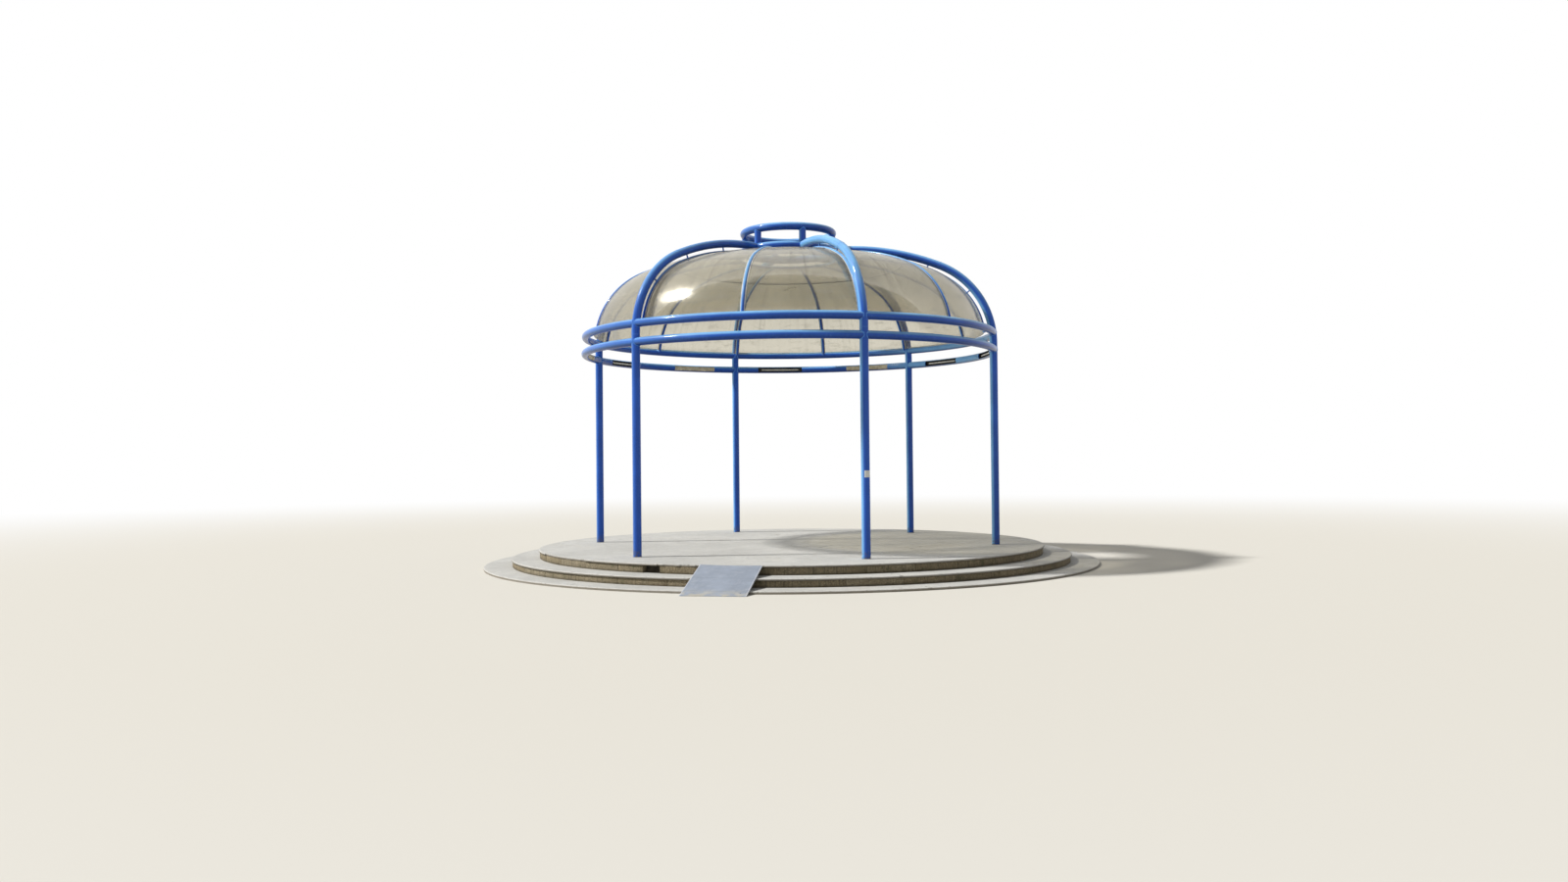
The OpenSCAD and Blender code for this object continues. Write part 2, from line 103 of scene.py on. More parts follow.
class Levels:
    """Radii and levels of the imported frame, in metres."""
    deck_r = size("deck_slab", 0) / 2
    deck_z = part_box("deck_slab")[1].z
    slab_t = size("deck_slab", 2)
    step_r = size("middle_slab", 0) / 2
    step_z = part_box("middle_slab")[1].z
    step_t = size("middle_slab", 2)
    kerb_r = size("bottom_slab", 0) / 2
    kerb_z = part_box("bottom_slab")[1].z
    deck_riser_r = size("deck_riser", 0) / 2
    step_riser_r = size("platform_core", 0) / 2
    post_circle = middle("post_right", 0)
    post_r = size("post_right", 0) / 2
    bend_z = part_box("post_right")[1].z
    lower_beam_z = middle("lower_beam_back", 2)
    upper_beam_z = middle("upper_beam_back", 2)
    beam_r = size("upper_beam_back", 2) / 2
    crown_tube_r = size("crown_base_ring", 2) / 2
    crown_r = size("crown_base_ring", 0) / 2 - crown_tube_r
    crown_z = middle("crown_base_ring", 2)
    crown_top_z = middle("crown_top_ring", 2)
    hoop_tube_r = size("oculus_hoop", 2) / 2
    hoop_r = size("oculus_hoop", 0) / 2 - hoop_tube_r
    hoop_z = middle("oculus_hoop", 2)


def colour_setting(name, about, default):
    """A colour that a user can change."""
    return FloatVectorProperty(name=name, description=about, subtype="COLOR", size=4, default=default)


def length_setting(name, about, default):
    """A length in metres that a user can change."""
    return FloatProperty(name=name, description=about, unit="LENGTH", default=default)


def angle_setting(name, about, default):
    """An angle that a user can change. The default is in degrees."""
    return FloatProperty(name=name, description=about, subtype="ANGLE", default=radians(default))


def number_setting(name, about, default, least):
    """A plain number that a user can change."""
    return FloatProperty(name=name, description=about, default=default, min=least)


class SteelSettings(bpy.types.PropertyGroup):
    paint: colour_setting("Paint", "Colour of the steelwork's paint", srgb(32, 88, 192))
    # The paler coat's colour; it also stands in for painted light on tops and on the sunny side
    faded_and_lit: colour_setting("Faded paint", "Colour of paint bleached from above", srgb(140, 206, 255))
    label: colour_setting("Label", "Colour of the blank label on a post", srgb(224, 226, 224))
    # The paler coat on the sunny side is partly real fading and partly painted light
    sunny_side: angle_setting("Sunny side", "Azimuth of the side that the sun has bleached", -73)
    # Painted shade: round this azimuth the paler coat, itself partly painted light, is laid thinner
    shaded_side: angle_setting("Shaded side", "Azimuth of the stretch that is bleached less", -56)
    eaves_bend: length_setting("Eaves bend", "Radius of the ribs' bend at the eaves", 1.7)
    eaves_turn: angle_setting("Eaves turn", "Angle that the eaves' bend turns through", 67)
    dome_bend: length_setting("Dome bend", "Radius of the ribs' flatter bend", 5.0)
    crown_post_r: length_setting("Crown post", "Radius of the crown's short posts", 0.068)
    weld_r: length_setting("Weld", "Radius of the weld round a beam's or a rib's end", 0.007)
    fine_weld_r: length_setting("Fine weld", "Radius of the weld round a bar or a stub", 0.004)
    girth_weld_r: length_setting("Girth weld", "Radius of the weld round a tube's joint", 0.003)
    beam_trim: length_setting("Beam's trim", "Least distance of a beam's weld from the post's axis", 0.024)
    seal_r: length_setting("Foot seal", "Radius of the seal round a post's foot", 0.005)
    seal_gap: length_setting("Seal's gap", "Distance of the seal's middle from the post", 0.0015)
    label_low: length_setting("Label's foot", "Height of the blank label's lower edge", 1.737)
    label_w: length_setting("Label's side", "Length of the blank label's sides", 0.118)
    label_t: length_setting("Label's thickness", "Thickness of the blank label", 0.0006)
    label_corner: length_setting("Label's corner", "Radius of the blank label's corners", 0.004)
    label_turn: angle_setting("Label's turn", "Angle of the blank label to the right of outward", 8)


class GlazingSettings(bpy.types.PropertyGroup):
    tint: colour_setting("Tint", "Light that one face of a panel lets through", srgb(235, 232, 223))
    dust: colour_setting("Dust", "Colour of the dust on the panels", srgb(218, 216, 204))
    # Pale colour of the strips, partly a painted reflection of the sky
    seal: colour_setting("Seal", "Colour of the strips beside the bars", srgb(228, 226, 218))
    bar_r: length_setting("Bar", "Radius of a glazing bar", 0.030)
    stub_r: length_setting("Stub", "Radius of the stubs that carry the bars", 0.0135)
    foot_stub: length_setting("Foot stub", "Height of the lowest stubs above the upper beam", 0.024)
    eaves_stub: angle_setting("Eaves stub", "Angle of the stub on the eaves' bend", 40)
    dome_stub: angle_setting("Dome stub", "Angle of the lower stub on the dome's bend", 69.5)
    crown_stub: angle_setting("Crown stub", "Angle of the upper stub on the dome's bend", 81)
    drop: length_setting("Drop", "Distance of the glazing inside the ribs' axes", 0.160)
    panel_t: length_setting("Panel", "Thickness of a panel", 0.010)
    joint_r: length_setting("Joint", "Radius of the joint between the panels", 2.300)
    foot_rise: length_setting("Foot", "Height of the panels' foot above the upper beam", 0.030)
    strip_w: length_setting("Strip", "Width of the strip beside a bar", 0.014)
    strip_t: length_setting("Strip thickness", "Thickness of a strip", 0.003)
    strip_lap: length_setting("Strip's lap", "How far a strip reaches under its bar", 0.003)
    joint_w: length_setting("Joint strip", "Width of the strips over the panels' joint", 0.026)
    joint_t: length_setting("Joint strip thickness", "Thickness of those strips", 0.0026)


class PlatformSettings(bpy.types.PropertyGroup):
    concrete: colour_setting("Concrete", "Colour of the trowelled paving", srgb(212, 212, 208))
    aggregate: colour_setting("Aggregate", "Colour of the risers' blocks", srgb(178, 165, 134))
    ramp: colour_setting("Ramp", "Colour of the ramp's plate", srgb(152, 162, 178))
    ramp_w: length_setting("Ramp width", "Width of the ramp's plate", 1.040)
    ramp_offset: length_setting("Ramp offset", "Distance of the ramp right of the middle", 0.045)
    ramp_skew: angle_setting("Ramp skew", "Angle by which the ramp lies askew", 2.5)
    block_depth: length_setting("Block depth", "Depth of a riser block", 0.110)
    block_bed: length_setting("Block bed", "Depth of the whole ring of riser blocks", 0.150)
    block_joint: length_setting("Block joint", "Width of the joint between two blocks", 0.006)
    block_worn: length_setting("Block edge", "Radius of the blocks' worn edges", 0.005)
    block_angle: angle_setting("Block angle", "Angle that one riser block spans", 10)
    deck_joint: angle_setting("Deck riser's joint", "Azimuth of the joint beside the hole", -14.08)
    hole_angle: angle_setting("Hole", "Angle of the stretch where a block is missing", 3.84)
    step_joint: angle_setting("Step riser's joint", "Azimuth of a joint in the step's riser", -19.3)
    mortar_in: length_setting("Mortar", "Depth of the mortar behind the blocks' faces", 0.012)


class LampSettings(bpy.types.PropertyGroup):
    tube_r: length_setting("Tube", "Radius of a lamp's tube", 0.013)
    tube_l: length_setting("Tube length", "Length of a lamp's tube", 0.895)
    place: length_setting("Place", "Distance of a tube from the platform's axis", 4.0523)
    offset: angle_setting("Offset", "Angle from a bay's middle to its lamps", 15)
    cap_l: length_setting("Cap", "Length of the cap on a tube's end", 0.018)
    cap_t: length_setting("Cap's wall", "Thickness of a cap's wall", 0.0006)
    cap_rim: length_setting("Cap's rim", "Radius of a cap's rounded rim", 0.002)


class StageSettings(bpy.types.PropertyGroup):
    floor: colour_setting("Floor's colour", "Colour of the floor", srgb(222, 219, 210))
    camera_x: length_setting("Camera X", "Camera's place to the right of the axis", 4.9566)
    camera_y: length_setting("Camera Y", "Camera's place along the view", -23.7182)
    camera_z: length_setting("Camera height", "Camera's height above the ground", 2.074)
    heading: angle_setting("Heading", "Camera's turn to the left of straight on", 12.10)
    pitch: angle_setting("Pitch", "Camera's tilt upwards", 0.836)
    roll: angle_setting("Roll", "Camera's roll", -0.558)
    lens: number_setting("Lens", "Focal length in millimetres, on a 36 mm sensor", 27.34, 1)
    key_azimuth: angle_setting("Key light", "Azimuth that the key light comes from", -73)
    key_height: angle_setting("Key height", "Height angle of the key light", 45)
    key_strength: number_setting("Key strength", "Strength of the key light", 3.7, 0)
    room_strength: number_setting("Room strength", "Strength of the light all round", 0.24, 0)
    key_spread: angle_setting("Key softness", "Angle across the key light, which softens its shadows", 5)
    floor_r: length_setting("Floor", "Radius of the floor", 120)
    floor_plain: length_setting("Plain floor", "Radius within which the floor keeps its colour", 12)
    floor_white: length_setting("White floor", "Radius from which the floor is white", 45)


class Wave:
    """A number that varies over a surface. Sums and products of these add Math nodes."""

    def __init__(self, finish, socket):
        self.finish = finish
        self.socket = socket

    def maths(self, operation, *others):
        """A Math node that takes this number first."""
        made = self.finish.node("Math", {"operation": operation}, dict(enumerate((self, *others))))
        return Wave(self.finish, made.outputs[0])

    def after(self, operation, first):
        """A Math node that takes this number second."""
        made = self.finish.node("Math", {"operation": operation}, {0: first, 1: self})
        return Wave(self.finish, made.outputs[0])

    __add__ = partialmethod(maths, "ADD")
    __radd__ = partialmethod(after, "ADD")
    __sub__ = partialmethod(maths, "SUBTRACT")
    __rsub__ = partialmethod(after, "SUBTRACT")
    __mul__ = partialmethod(maths, "MULTIPLY")
    __rmul__ = partialmethod(after, "MULTIPLY")
    __truediv__ = partialmethod(maths, "DIVIDE")
    __rtruediv__ = partialmethod(after, "DIVIDE")
    __pow__ = partialmethod(maths, "POWER")
    __rpow__ = partialmethod(after, "POWER")
    magnitude = partialmethod(maths, "ABSOLUTE")
    floor = partialmethod(maths, "FLOOR")
    most = partialmethod(maths, "MAXIMUM")
    least = partialmethod(maths, "MINIMUM")

    def fade(self, start, end):
        """0 before start and 1 after end, with a smooth step between. Start may be above end."""
        spread = {"interpolation_type": "SMOOTHSTEP"}
        made = self.finish.node("MapRange", spread, {"Value": self, "From Min": start, "From Max": end})
        return Wave(self.finish, made.outputs["Result"])


class Nodes:
    """Makes the nodes of one shader tree."""

    def __init__(self, tree):
        self.tree = tree
        tree.nodes.clear()

    def node(self, kind, settings=None, inputs=None):
        """One node of a type, with its settings, and then the values or links of its sockets."""
        made = self.tree.nodes.new("ShaderNode" + kind)
        for key, value in (settings or {}).items():
            setattr(made, key, value)
        for key, value in (inputs or {}).items():
            if isinstance(value, Wave):
                value = value.socket
            if isinstance(value, bpy.types.NodeSocket):
                self.tree.links.new(value, made.inputs[key])
            else:
                made.inputs[key].default_value = value
        return made

    def wave(self, socket):
        return Wave(self, socket)


class Finish(Nodes):
    """A material, whose nodes are made from expressions."""

    def __init__(self, name):
        self.material = bpy.data.materials.new(name)
        self.material.use_nodes = True
        self.colour = WHITE
        super().__init__(self.material.node_tree)
        self.place = self.node("TexCoord").outputs["Object"]
        parts = self.node("SeparateXYZ", {}, {"Vector": self.place}).outputs
        self.x, self.y, self.z = (self.wave(part) for part in parts)
        self.out = (self.x * self.x + self.y * self.y) ** 0.5

    def joined(self, x, y, z):
        """A vector from three numbers."""
        return self.node("CombineXYZ", {}, {"X": x, "Y": y, "Z": z}).outputs["Vector"]

    def around(self, turns, out, up):
        """Coordinates round the platform, whose pattern is stretched out from its axis and up it."""
        east, north = self.x / self.out * turns, self.y / self.out * turns
        return self.joined(east, north, self.out * out + self.z * up)

    def azimuth(self, start=0.0):
        """Angle round the platform from a start, in radians."""
        across = self.x * cos(start) + self.y * sin(start)
        back = self.x * sin(start) - self.y * cos(start)
        return across.maths("ARCTAN2", back)

    def grain(self, scale, detail=4.0, rough=0.6, place=None):
        """Noise from 0 to 1, with a number of patches to the metre."""
        made = self.node("TexNoise", {"noise_dimensions": "3D"},
                         {"Vector": place or self.place, "Scale": scale, "Detail": detail,
                          "Roughness": rough})
        return self.wave(made.outputs["Fac"])

    def cells(self, scale, feature="F1", place=None, output="Distance"):
        """Cells of stones or chips: distance to the nearest middle or edge, or each cell's colour."""
        made = self.node("TexVoronoi", {"feature": feature, "voronoi_dimensions": "3D"},
                         {"Vector": place or self.place, "Scale": scale})
        return made.outputs[output]

    def mix(self, share, first, second):
        """A colour between two colours."""
        made = self.node("Mix", {"data_type": "RGBA", "blend_type": "MIX", "clamp_factor": True},
                         {0: share, 6: first, 7: second})
        return made.outputs[2]

    def cover(self, share, coat):
        """Lays a coat over the colour so far. A share of 0 lays none, and 1 hides what is under it."""
        self.colour = self.mix(share, self.colour, coat)

    def bump(self, height, depth, below=None):
        """A normal from a height of 0 to 1 that is depth metres deep."""
        inputs = {"Height": height, "Distance": depth, "Strength": 1.0}
        if below is not None:
            inputs["Normal"] = below
        return self.node("Bump", {}, inputs).outputs["Normal"]

    def facing(self):
        """How far a face looks along X, along Y and up, each from -1 to 1."""
        normal = self.node("NewGeometry").outputs["Normal"]
        return [self.wave(part) for part in self.node("SeparateXYZ", {}, {"Vector": normal}).outputs]

    def surface(self, colour, rough, **more):
        """The Principled shader. Underscores in the names of more inputs stand for spaces."""
        named = {key.replace("_", " "): value for key, value in more.items()}
        inputs = {"Base Color": colour, "Roughness": rough, **named}
        return self.node("BsdfPrincipled", {}, inputs).outputs["BSDF"]

    def done(self, shader):
        """The material, with a shader on its surface."""
        self.node("OutputMaterial", {}, {"Surface": shader})
        return self.material

    def coat(self, rough, **more):
        """The material, with the colour so far on the Principled shader."""
        return self.done(self.surface(self.colour, rough, **more))


def dimmed(colour, share):
    """A colour made darker or lighter by one factor."""
    return tuple(min(1.0, part * share) for part in colour[:3]) + (1.0,)


def blue_paint(steel):
    """Gloss paint on steel: paler on top and on the sunny side, partly from real fading and partly as
    painted light; darker underneath as painted shade; grubby near the deck.
    """
    f = Finish("blue_paint")
    across, along, up = f.facing()
    sunward = across * sin(steel.sunny_side) - along * cos(steel.sunny_side)
    cloud = f.grain(1.3)
    mottle = f.grain(22.0, 3.0)
    runs = f.grain(1.0, 3.0, 0.6, f.joined(f.x * 36.0, f.y * 36.0, f.z * 1.6))
    f.colour = f.mix(cloud.fade(0.3, 0.75), dimmed(steel.paint, 0.86), dimmed(steel.paint, 1.12))
    # Painted shade: down-facing faces darker than the paint
    f.cover(up.fade(0.05, -0.7) * 0.85, dimmed(steel.paint, 0.38))
    # Painted shade: the paler coat is laid thinner round the shaded side
    shaded = f.azimuth(steel.shaded_side).magnitude().fade(0.8, 0.5)
    # The paler coat on tops and on the sunny side is partly real fading and partly painted light
    bleached_and_lit = up.fade(0.1, 0.75) * (0.68 + 0.32 * cloud.fade(0.3, 0.7)) * (1 - 0.35 * shaded)
    bleached_and_lit = bleached_and_lit.most(sunward.fade(0.35, 0.9) * (0.55 + 0.35 * cloud) * (1 - 0.75 * shaded))
    f.cover(bleached_and_lit * 0.95, steel.faded_and_lit)
    f.cover(runs.fade(0.56, 0.76) * 0.2, srgb(92, 134, 198))
    # Dark streaks on undersides: partly grime, partly painted shade
    grime_and_shade = runs.fade(0.46, 0.24) * up.fade(0.2, -0.5)
    f.cover(grime_and_shade * 0.4, srgb(20, 36, 72))
    foot = f.z.fade(Levels.deck_z + 0.20, Levels.deck_z + 0.01) * mottle.fade(0.38, 0.6)
    f.cover(foot * 0.7, srgb(98, 96, 90))
    chips = f.grain(60.0, 2.0, 0.5).fade(0.73, 0.755)
    f.cover(chips * 0.85, srgb(30, 44, 78))
    rough = 0.24 + 0.24 * bleached_and_lit + 0.12 * mottle + 0.3 * foot
    normal = f.bump(f.grain(9.0, 2.0, 0.4), 0.0012)
    normal = f.bump(f.grain(160.0, 2.0, 0.5) - chips, 0.0003, normal)
    return f.coat(rough, Normal=normal, Specular_IOR_Level=0.1, Coat_Weight=0.35, Coat_Roughness=0.1)


def tinted_panel(glazing):
    """Smoky sheet, scored and specked, with dust that thickens towards the crown and runs down it."""
    f = Finish("tinted_panel")
    height = f.z.fade(Levels.upper_beam_z + 0.15, Levels.hoop_z - 0.05)
    cloud = f.grain(1.1)
    fine = f.grain(14.0, 4.0, 0.7)
    runs = f.grain(1.0, 5.0, 0.65, f.around(34.0, 0.8, 0.6))
    wisps = f.grain(1.0, place=f.joined(f.x * 2.2 + f.y * 1.4, f.y * 2.2, f.z * 9.0))
    specks = f.grain(75.0, 2.0).fade(0.68, 0.74)
    across = f.joined(f.x * 34.0 + f.z * 26.0, f.y * 34.0 - f.z * 14.0, f.z * 3.0)
    scores = f.grain(1.0, 2.0, 0.6, across).fade(0.66, 0.70)
    dust = 0.03 + 0.11 * height + 0.10 * height * cloud.fade(0.35, 0.7)
    dust = dust + 0.15 * runs.fade(0.5, 0.74) * (0.35 + height) + 0.03 * fine
    dust = dust + 0.14 * wisps.fade(0.54, 0.74) + 0.16 * specks + 0.2 * scores
    foot = f.z.fade(Levels.upper_beam_z + 0.15, Levels.upper_beam_z + 0.03)
    dust = (dust + 0.22 * foot * fine).least(0.8)
    f.colour = f.mix(runs.fade(0.35, 0.7), glazing.dust, dimmed(glazing.dust, 0.7))
    clear = f.node("BsdfTransparent", {}, {"Color": glazing.tint}).outputs["BSDF"]
    mirror = f.surface(WHITE, 0.07 + 0.14 * fine, Metallic=1.0)
    gloss = 0.65 * f.wave(f.node("LayerWeight", {}, {"Blend": 0.26}).outputs["Fresnel"])
    sheet = f.node("MixShader", {}, {0: gloss, 1: clear, 2: mirror}).outputs["Shader"]
    film = f.surface(f.colour, 0.75)
    return f.done(f.node("MixShader", {}, {0: dust, 1: sheet, 2: film}).outputs["Shader"])


def seal_strip(glazing):
    """Weathered pale strip, greyer where water runs along it. Its pale colour is partly a painted
    reflection of the sky.
    """
    f = Finish("seal_strip")
    patch = f.grain(9.0, 3.0)
    fine = f.grain(120.0, 2.0)
    f.colour = f.mix(patch.fade(0.4, 0.75), glazing.seal, dimmed(glazing.seal, 0.6))
    return f.coat(0.5 + 0.3 * fine, Normal=f.bump(fine, 0.0004))


def dark_seal():
    """Dark rubber and mastic, chalky where it has aged."""
    f = Finish("dark_seal")
    fine = f.grain(40.0, 4.0, 0.65)
    f.colour = f.mix(fine.fade(0.4, 0.7), srgb(34, 32, 30), srgb(76, 72, 64))
    return f.coat(0.55 + 0.3 * fine, Normal=f.bump(fine, 0.0006))


def paving_concrete(platform, name, edge_r, top_z):
    """Trowelled concrete paving with stains, fine pores, hair cracks and a chipped edge."""
    f = Finish(name)
    cloud = f.grain(0.5, 5.0)
    patch = f.grain(3.2, 5.0, 0.65)
    speckle = f.grain(16.0, 5.0, 0.75)
    sand = f.grain(210.0, 2.0)
    pores = f.grain(95.0, 2.0).fade(0.67, 0.73)
    trowel = f.grain(1.0, place=f.around(30.0, 7.0, 0.0))
    bent = f.joined(f.x + patch * 0.5, f.y + patch * 0.4, 0.0)
    cracks = f.wave(f.cells(0.55, "DISTANCE_TO_EDGE", bent)).fade(0.004, 0.001) * cloud.fade(0.5, 0.62)
    rim = f.out.fade(edge_r - 0.07, edge_r - 0.008)
    chips = rim * f.grain(24.0).fade(0.6, 0.66)
    below = f.z.fade(top_z - 0.006, top_z - 0.018)
    base = platform.concrete
    f.colour = f.mix(cloud.fade(0.3, 0.7), dimmed(base, 0.84), dimmed(base, 1.08))
    f.cover(patch.fade(0.42, 0.75) * 0.5, dimmed(base, 0.68))
    f.cover(trowel.fade(0.48, 0.75) * 0.35, dimmed(base, 1.18))
    f.cover(speckle.fade(0.45, 0.75) * 0.4, dimmed(base, 0.62))
    f.cover(sand.fade(0.35, 0.7) * 0.3, srgb(132, 127, 116))
    f.cover(cloud.fade(0.56, 0.7) * patch * 0.5, srgb(150, 142, 124))
    f.cover(rim * patch.fade(0.3, 0.6) * 0.5, srgb(220, 219, 214))
    # Darker brown over the lower part of the slab's edge face
    f.cover(below * (0.5 + 0.5 * patch), srgb(104, 94, 76))
    f.cover(chips * 0.7, srgb(140, 132, 116))
    f.cover(pores * 0.6, srgb(92, 86, 76))
    f.cover(cracks * 0.7, srgb(74, 68, 60))
    height = 0.35 * sand + 0.5 * trowel - 0.8 * pores - 1.2 * cracks - 2.0 * chips
    rough = 0.74 + 0.2 * sand - 0.12 * trowel
    return f.coat(rough, Normal=f.bump(height, 0.0018))


def riser_aggregate(platform, name, joint, low_z, high_z):
    """Blocks of exposed aggregate, each of its own tone, with moss, runs and dirt, and painted shade under
    the slab's edge.
    """
    f = Finish(name)
    blocks = f.azimuth(joint) / platform.block_angle
    count = blocks.floor()
    shade = f.wave(f.node("TexWhiteNoise", {"noise_dimensions": "1D"}, {"W": count}).outputs["Value"])
    stones = f.wave(f.cells(95.0))
    tone = f.node("SeparateColor", {}, {"Color": f.cells(95.0, output="Color")}).outputs
    gap = stones.fade(0.32, 0.62)
    cloud = f.grain(1.4, 5.0, 0.65)
    patch = f.grain(6.5, 5.0, 0.7)
    drips = f.grain(1.0, place=f.around(190.0, 0.0, 2.5))
    base = platform.aggregate
    f.colour = f.mix(f.wave(tone["Red"]), dimmed(base, 0.62), dimmed(base, 1.6))
    f.cover(f.wave(tone["Green"]).fade(0.55, 0.75) * 0.6, srgb(142, 112, 76))
    f.cover(shade * 0.5, dimmed(base, 0.45))
    f.cover(shade.fade(0.3, 0.0) * 0.4, srgb(176, 168, 148))
    f.cover(gap * 0.6, srgb(66, 59, 46))
    f.cover(cloud.fade(0.35, 0.7) * 0.5, srgb(116, 105, 80))
    moss = patch.fade(0.53, 0.66) * cloud.fade(0.42, 0.6)
    f.cover(moss * 0.7, srgb(66, 72, 36))
    f.cover(drips.fade(0.52, 0.7) * 0.5, srgb(48, 44, 36))
    # Painted shade: darker just under the slab's overhang
    under = f.z.fade(high_z - 0.020, high_z)
    damp = f.z.fade(low_z + 0.05, low_z)
    f.cover(under * 0.75, srgb(32, 29, 24))
    f.cover(damp * (0.3 + 0.5 * patch), srgb(48, 44, 34))
    normal = f.bump(0.6 * patch, 0.004)
    normal = f.bump(1 - gap, 0.0022, normal)
    return f.coat(0.78 + 0.12 * patch, Normal=normal)


def bed_mortar():
    """Dark, crumbling mortar behind and between the blocks."""
    f = Finish("bed_mortar")
    patch = f.grain(7.0, 5.0, 0.7)
    crumbs = f.wave(f.cells(70.0))
    f.colour = f.mix(patch.fade(0.35, 0.7), srgb(44, 40, 33), srgb(84, 77, 62))
    return f.coat(0.95, Normal=f.bump(patch - 0.4 * crumbs, 0.006))


def ramp_paint(platform):
    """Worn grey paint on the ramp's plate: pale edges, scuffs, seams, and sand at its foot."""
    f = Finish("ramp_paint")
    foot_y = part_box("access_ramp")[0].y
    along = (0 - f.y - Levels.deck_r) / (-foot_y - Levels.deck_r)
    across = (f.x - platform.ramp_offset) * cos(platform.ramp_skew)
    side = (across + (f.y + Levels.deck_r) * sin(platform.ramp_skew)).magnitude()
    half = platform.ramp_w / 2
    cloud = f.grain(1.6, 5.0)
    patch = f.grain(7.0, 5.0, 0.65)
    scuffs = f.grain(1.0, 4.0, 0.7, f.joined(f.x * 26.0, f.y * 2.2, f.z * 2.2))
    grit = f.grain(260.0, 2.0)
    base = platform.ramp
    f.colour = f.mix(cloud.fade(0.3, 0.7), dimmed(base, 0.84), dimmed(base, 1.14))
    f.cover(patch.fade(0.5, 0.75) * 0.4, srgb(184, 190, 200))
    f.cover(scuffs.fade(0.56, 0.74) * 0.4, srgb(120, 126, 136))
    seams = (along - 0.42).magnitude().least((along - 0.84).magnitude()).fade(0.006, 0.002)
    f.cover(seams * 0.4, srgb(98, 102, 110))
    sandy = along.fade(0.74, 1.0) * patch.fade(0.38, 0.6)
    f.cover(sandy * 0.65, srgb(196, 188, 166))
    edges = side.fade(half - 0.016, half - 0.009) * (0.5 + 0.5 * patch)
    f.cover(edges * 0.9, srgb(216, 219, 226))
    normal = f.bump(0.7 * grit + patch, 0.0009)
    rough = 0.5 + 0.3 * sandy + 0.12 * patch
    return f.coat(rough, Normal=normal)


def tray_enamel():
    """Black enamel inside the lamp slots, with dust on its ledges."""
    f = Finish("tray_enamel")
    fine = f.grain(30.0, 4.0, 0.65)
    f.colour = f.mix(fine.fade(0.4, 0.7), srgb(18, 19, 22), srgb(44, 43, 42))
    dusty = f.facing()[2].fade(0.5, 0.95) * fine.fade(0.3, 0.6)
    f.cover(dusty * 0.6, srgb(120, 112, 96))
    return f.coat(0.35 + 0.4 * fine, Normal=f.bump(fine, 0.0004))


def lamp_glass():
    """Milky glass of the lamps' tubes."""
    f = Finish("lamp_glass")
    fine = f.grain(18.0, 3.0)
    f.colour = f.mix(fine.fade(0.45, 0.8) * 0.5, srgb(232, 232, 226), srgb(196, 190, 176))
    return f.coat(0.12 + 0.25 * fine, Coat_Weight=0.3)


def cap_metal():
    """Dull bare metal of the tubes' caps."""
    f = Finish("cap_metal")
    fine = f.grain(90.0, 3.0)
    f.colour = f.mix(fine.fade(0.35, 0.7), srgb(176, 176, 172), srgb(122, 120, 114))
    return f.coat(0.3 + 0.3 * fine, Metallic=0.9)


def cover_plastic():
    """Yellowed plastic of the lamp covers, with dirt along their lower edge."""
    f = Finish("cover_plastic")
    patch = f.grain(11.0, 4.0, 0.65)
    low = f.z.fade(Levels.lower_beam_z - 0.01, Levels.lower_beam_z - 0.05)
    f.colour = f.mix(patch.fade(0.35, 0.7), srgb(204, 198, 178), srgb(174, 165, 140))
    f.cover(low * patch.fade(0.3, 0.6) * 0.7, srgb(96, 88, 70))
    normal = f.bump(f.grain(150.0, 2.0, 0.5), 0.0003)
    return f.coat(0.42 + 0.2 * patch, Normal=normal)


def blank_label(steel):
    """Sun-bleached blank label, grubby in patches."""
    f = Finish("blank_label")
    patch = f.grain(28.0, 4.0, 0.65)
    f.colour = f.mix(patch.fade(0.45, 0.75) * 0.6, steel.label, dimmed(steel.label, 0.6))
    return f.coat(0.45 + 0.3 * patch, Normal=f.bump(patch, 0.0005))


def turned(azimuth):
    """Turns what lies beside +X to an azimuth in degrees, which counts from -Y towards +X."""
    return Matrix.Rotation(radians(azimuth - 90), 4, "Z")


def shown(name, bm, material):
    """Makes a bmesh into an object of the scene."""
    mesh = bpy.data.meshes.new(name)
    bm.to_mesh(mesh)
    bm.free()
    mesh.materials.append(material)
    made = bpy.data.objects.new(name, mesh)
    bpy.context.scene.collection.objects.link(made)
    return made


def piece(name, bm, material, sharp=WELD_EDGE, replaced=()):
    """Makes a bmesh into a finished piece that rides on the frame."""
    bmesh.ops.remove_doubles(bm, verts=bm.verts, dist=1e-6)
    bmesh.ops.recalc_face_normals(bm, faces=bm.faces)
    made = shown(name, bm, material)
    made.data.shade_smooth()
    made.data.set_sharp_from_angle(angle=radians(sharp))
    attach(made, BODY)
    if replaced:
        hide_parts(*replaced)


def dress(material, slot, *nodes):
    """Gives frame nodes a finish."""
    for name in nodes:
        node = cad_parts[name]
        node.data.materials.clear()
        node.data.materials.append(material)


def put(bm, part, *azimuths):
    """Adds copies of a small bmesh that lies beside +X, turned to azimuths in degrees."""
    for azimuth in azimuths:
        mesh = bpy.data.meshes.new("copy")
        part.to_mesh(mesh)
        mesh.transform(turned(azimuth))
        bm.from_mesh(mesh)
        bpy.data.meshes.remove(mesh)
    part.free()


def placed(r, z, turn=0, axis="Z"):
    """Moves the origin to a distance along +X and a height, turned there about one axis."""
    return Matrix.Translation((r, 0, z)) @ Matrix.Rotation(turn, 4, axis)


